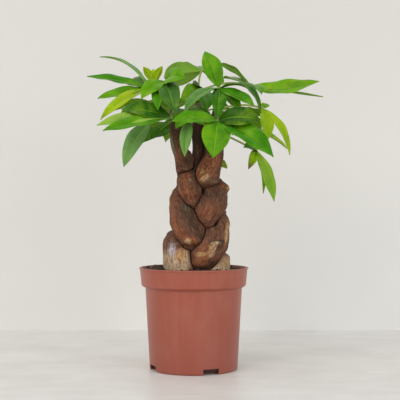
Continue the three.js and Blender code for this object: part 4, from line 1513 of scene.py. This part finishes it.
@dataclass
class Leaflet:
    """One blade of a palmate leaf, from the hub to its tip."""

    root: Point
    tip: Point
    width: float
    arch: float
    roll: float
    age: float
    # Painted sheen: how strong a pale veil of reflected light the blade carries.
    painted_sheen: float = 0
    dryness: float = 0
    seed: int = 0
    rows: int = 54
    columns: int = 23
    crowding: float = 0.92
    edge_crowding: float = 0.6
    outline: tuple[float, float, float] = (0.9, 1.05, 0.4)
    outline_peak: float = 0.3106
    stalk_half: float = 0.9
    stalk_fade: int = 6
    least_half: float = 0.22
    thickness: float = 0.5
    thinning: float = 0.45
    skin: float = 0.12
    fold_deg: float = 14
    bow: float = 0.085
    lean_out: float = 0.5
    waves: tuple[float, float] = (1.6, 2.8)
    wave_rise: float = 0.075
    twist_deg: float = 7
    untwisted: float = 0.35
    groove: tuple[float, float, float] = (0.35, 0.7, 3)
    keel: tuple[float, float] = (0.45, 0.8)
    vein_pitch: float = 4.6
    vein_lean: float = 0.72
    vein_bend: float = 1.1
    quilt: tuple[float, float, float] = (0.30, 0.22, 5)
    quilt_from: tuple[float, float] = (0.02, 0.16)
    quilt_to: tuple[float, float] = (0.75, 1)

    def half_width(self, t: Array) -> Array:
        """Half width at a share of the length.

        t^a (1-t)^b (1+ct) over its own peak, or that of a short stalk which fades by (1-t)^6.
        """
        a, b, c = self.outline
        blade = self.width / 2 * t**a * (1 - t) ** b * (1 + c * t) / self.outline_peak
        return np.maximum(np.maximum(blade, self.stalk_half * (1 - t) ** self.stalk_fade), self.least_half)

    def frame(self) -> tuple[Array, Array, Array]:
        """Direction of the chord, the face's normal square to it and rolled about it, and its length."""
        chord = np.subtract(self.tip, self.root)
        length = np.linalg.norm(chord)
        along = chord / length
        outwards = unit(np.array([self.root[0] + self.tip[0], self.root[1] + self.tip[1], 0.0]))
        face = UP + self.lean_out * outwards
        face = unit(face - along * face.dot(along))
        roll = math.radians(self.roll)
        face = face * math.cos(roll) + np.cross(along, face) * math.sin(roll)
        return along, face, length

    def veins(self, run: Array, half: Array, s: Array) -> tuple[Array, Array]:
        """Side veins, which run out and forwards in valleys, and the swelling of the blade between them.

        A vein lies where (run - lean half out^bend) / pitch is a whole number, and half a pitch further on
        one side. The swelling fades at the rib and at the margin, and where the blade is narrow.

        Args:
            run: distances along the rib, as a column.
            half: half widths there, as a column.
            s: shares of the way across, from -1 to 1.

        Returns:
            How far points lie from a vein, 0 on it and 1 midway, and how far they rise.
        """
        out = np.abs(s)
        phase = (run - self.vein_lean * half * out**self.vein_bend) / self.vein_pitch + 0.5 * (s < 0)
        to_vein = 1 - np.abs(np.mod(phase, 1) - 0.5) * 2
        rise, depth, full_half = self.quilt
        fade = smooth_step(*self.quilt_from, out) * (1 - smooth_step(*self.quilt_to, out))
        fade = fade * np.minimum(half / full_half, 1)
        return to_vein, (rise * smooth_step(0, 0.5, to_vein) - depth) * fade

    def shell(self) -> Shell:
        """The blade as a closed skin: its upper face from one margin to the other, and back underneath.

        The rib is a quadratic arc. From it each half rises by the fold, bows up in a half wave, and waves
        at the margin. A groove follows the rib above, and a keel below.
        """
        along, face, length = self.frame()
        side = np.cross(along, face)
        rng = np.random.default_rng(self.seed)
        turns, shifts = rng.uniform(*self.waves, 2), rng.uniform(0, TAU, 2)
        twist_deg = rng.uniform(-self.twist_deg, self.twist_deg)
        t = np.linspace(0, 1, self.rows) ** self.crowding
        control = np.add(self.root, self.tip) / 2 + face * 2 * self.arch * length
        line = bezier(self.root, control, self.tip, t)
        normal = unit(np.cross(side, bezier_heading(self.root, control, self.tip, t)))
        even = np.linspace(-1, 1, self.columns)
        s = self.edge_crowding * np.sin(even * math.pi / 2) + (1 - self.edge_crowding) * even
        out, share, half = np.abs(s), t[:, None], self.half_width(t)[:, None]
        to_vein, swelling = self.veins(share * length, half, s)
        lift = half * (math.tan(math.radians(self.fold_deg)) * out + self.bow * np.sin(math.pi * out))
        half_of = (s >= 0).astype(int)
        wave = np.sin(turns[half_of] * TAU * share + shifts[half_of]) * self.wave_rise * half * out**3
        depth, width, full_half = self.groove
        groove = depth * bell(out * half, width) * np.minimum(half / full_half, 1)
        keel = self.keel[0] * bell(out * half, self.keel[1])
        thick = self.thickness * (1 - self.thinning * out**4) / 2 + self.skin
        middle = lift + swelling + wave - groove
        height = np.concatenate([middle + thick, (middle - thick - keel)[:, ::-1]], axis=1)
        across = np.concatenate([s, s[::-1]])
        twist = math.radians(twist_deg) * (share - self.untwisted)
        x = across * half * np.cos(twist) - height * np.sin(twist)
        y = across * half * np.sin(twist) + height * np.cos(twist)
        grid = line[:, None] + side * x[..., None] + normal[:, None] * y[..., None]
        from_vein = np.concatenate([to_vein, to_vein[:, ::-1]], axis=1)
        top = np.repeat([1.0, 0.0], self.columns)
        marks = {
            "blade": side_by_side(height.shape, across, share, from_vein),
            "tone": side_by_side(height.shape, self.age, self.painted_sheen, top),
            "spoil": side_by_side(height.shape, self.dryness, 0, 0),
        }
        return sleeve(grid, marks)


@dataclass
class Foliage:
    """The palmate leaves: a stalk, a hub and five or so leaflets each, in one piece."""

    stalk_radius: float = 1.1
    stalk_rows: int = 26
    stalk_sides: int = 14
    foot_swelling: float = 0.45
    head_swelling: float = 0.30
    swelling_width: float = 0.10
    hub_radius: float = 1.9
    seed_step: int = 100
    sprout_seed: int = 999

    def stalk(self, start: Point, bend: Point, hub: Point, tone: Point) -> Shell:
        """A leaf's stalk: a tube on a quadratic arc, thicker at both ends by a bell."""
        t = np.linspace(0, 1, self.stalk_rows)
        foot = self.foot_swelling * bell(t, self.swelling_width)
        head = self.head_swelling * bell(1 - t, self.swelling_width)
        radii = self.stalk_radius * (1 + foot + head)
        return tube(bezier(start, bend, hub, t), radii, self.stalk_sides, tone, 1)

    def build(self, blade: bpy.types.Material, stalk: bpy.types.Material) -> None:
        """Adds every leaf.

        Args:
            blade: the leaflets' material.
            stalk: the stalks' material.
        """
        for number, (name, (path, leaflets)) in enumerate(LEAVES.items()):
            hub = path[2]
            tone = (float(np.mean([leaflet[6] for leaflet in leaflets])), 0, 1)
            shells = [self.stalk(*path, tone), ball(hub, self.hub_radius, tone, 1)]
            for i, leaflet in enumerate(leaflets):
                seed = self.seed_step * number + i
                shells.append(Leaflet(hub, leaflet[:3], *leaflet[3:], seed=seed).shell())
            slot = "young_leaf" if name in YOUNG else "leaf"
            add_piece(f"{name}_blades", shells, [blade, stalk], slot, (name,))
        sprout = Leaflet(*SPROUT, seed=self.sprout_seed)
        add_piece("sprout", [sprout.shell()], [blade, stalk], "young_leaf")


# The studio

# Lamps: place, the point that it faces, side in millimetres, watts and colour.
LAMPS = {
    "key": ((-1900, -2600, 2600), (0, 0, 180), 3600, 86, (1.0, 0.985, 0.96)),
    "fill": ((2200, -2600, 1300), (0, 0, 180), 2400, 36, (0.97, 0.985, 1.0)),
}


@dataclass
class Studio:
    """Pale floor and wall, soft light from large lamps and all round, and the camera."""

    wall_y: float = 316
    half_floor: float = 5000
    eye: Point = (6.9, -1040, 179.6)
    horizon: float = 204.7
    pixels_focal: float = 946
    frame_pixels: float = 400
    sensor: float = 36

    def plane(self, name: str, corners: list[Point], finish: bpy.types.Material) -> None:
        """Adds one flat sheet of the studio.

        Args:
            name: its name.
            corners: its four corners, counter-clockwise seen from its face.
            finish: its material.
        """
        mesh = bpy.data.meshes.new(name)
        mesh.from_pydata([tuple(c * MM for c in corner) for corner in corners], [], [(0, 1, 2, 3)])
        mesh.materials.append(finish)
        sheet = bpy.data.objects.new(name, mesh)
        bpy.context.scene.collection.objects.link(sheet)

    def lamp(self, name: str, place: Point, aim: Point, size: float, power: float, colour: Colour) -> None:
        """Adds one large soft lamp.

        Args:
            name: its name.
            place: where it stands.
            aim: the point that it faces.
            size: its side, in millimetres.
            power: its power in watts.
            colour: its colour.
        """
        data = bpy.data.lights.new(name, "AREA")
        data.shape, data.size, data.energy, data.color = "SQUARE", size * MM, power, colour
        lamp = bpy.data.objects.new(name, data)
        lamp.location = np.array(place) * MM
        gaze = Vector(tuple(np.subtract(aim, place)))
        lamp.rotation_euler = gaze.to_track_quat("-Z", "Y").to_euler()
        bpy.context.scene.collection.objects.link(lamp)

    def build(self) -> None:
        """Adds the floor, the wall, the lamps, the sky and the camera."""
        far = self.half_floor
        floor = PalePlaster("pale_floor", (0.80, 0.782, 0.758), (0.70, 0.68, 0.655), 0.32).material()
        # The wall's fade is painted shade: it darkens with height.
        wall = PalePlaster("pale_wall", (0.80, 0.79, 0.755), (0.785, 0.775, 0.74), 0.8, True, fade=450)
        self.plane("floor", [(-far, -far, 0), (far, -far, 0), (far, far, 0), (-far, far, 0)], floor)
        y = self.wall_y
        self.plane("wall", [(-far, y, -1), (far, y, -1), (far, y, far), (-far, y, far)], wall.material())
        for name, lamp in LAMPS.items():
            self.lamp(name, *lamp)
        self.sky((0.95, 0.96, 0.985), 0.53)
        self.camera()

    def sky(self, colour: Colour, strength: float) -> None:
        """Gives the world one soft pale colour."""
        world = bpy.data.worlds.new("soft_room")
        world.use_nodes = True
        back = world.node_tree.nodes["Background"]
        back.inputs["Color"].default_value = (*colour, 1)
        back.inputs["Strength"].default_value = strength
        bpy.context.scene.world = world
        bpy.context.scene.view_settings.view_transform = "Standard"

    def camera(self) -> None:
        """Stands the camera where the horizon and the rim's ellipse put it, tipped up a little."""
        data = bpy.data.cameras.new("camera")
        data.sensor_width = self.sensor
        data.lens = self.pixels_focal / self.frame_pixels * self.sensor
        camera = bpy.data.objects.new("camera", data)
        camera.location = np.array(self.eye) * MM
        tip = math.atan((self.horizon - self.frame_pixels / 2) / self.pixels_focal)
        camera.rotation_euler = (math.pi / 2 + tip, 0, 0)
        bpy.context.scene.collection.objects.link(camera)
        bpy.context.scene.camera = camera


def main() -> None:
    """Builds every piece in order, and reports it."""
    logging.basicConfig(level=logging.INFO, format="%(name)s %(message)s")
    braid = Braid()
    NurseryPot().build(PotPlastic().material())
    Soil().build(PottingSoil().material(), braid.feet())
    braid.build(Bark().material())
    Shoots().build(GreenBark("shoot_skin", browning=0.9).material())
    Foliage().build(LeafBlade().material(), GreenBark("leaf_stalk", browning=0.25).material())
    Studio().build()


if __name__ == "__main__":
    main()
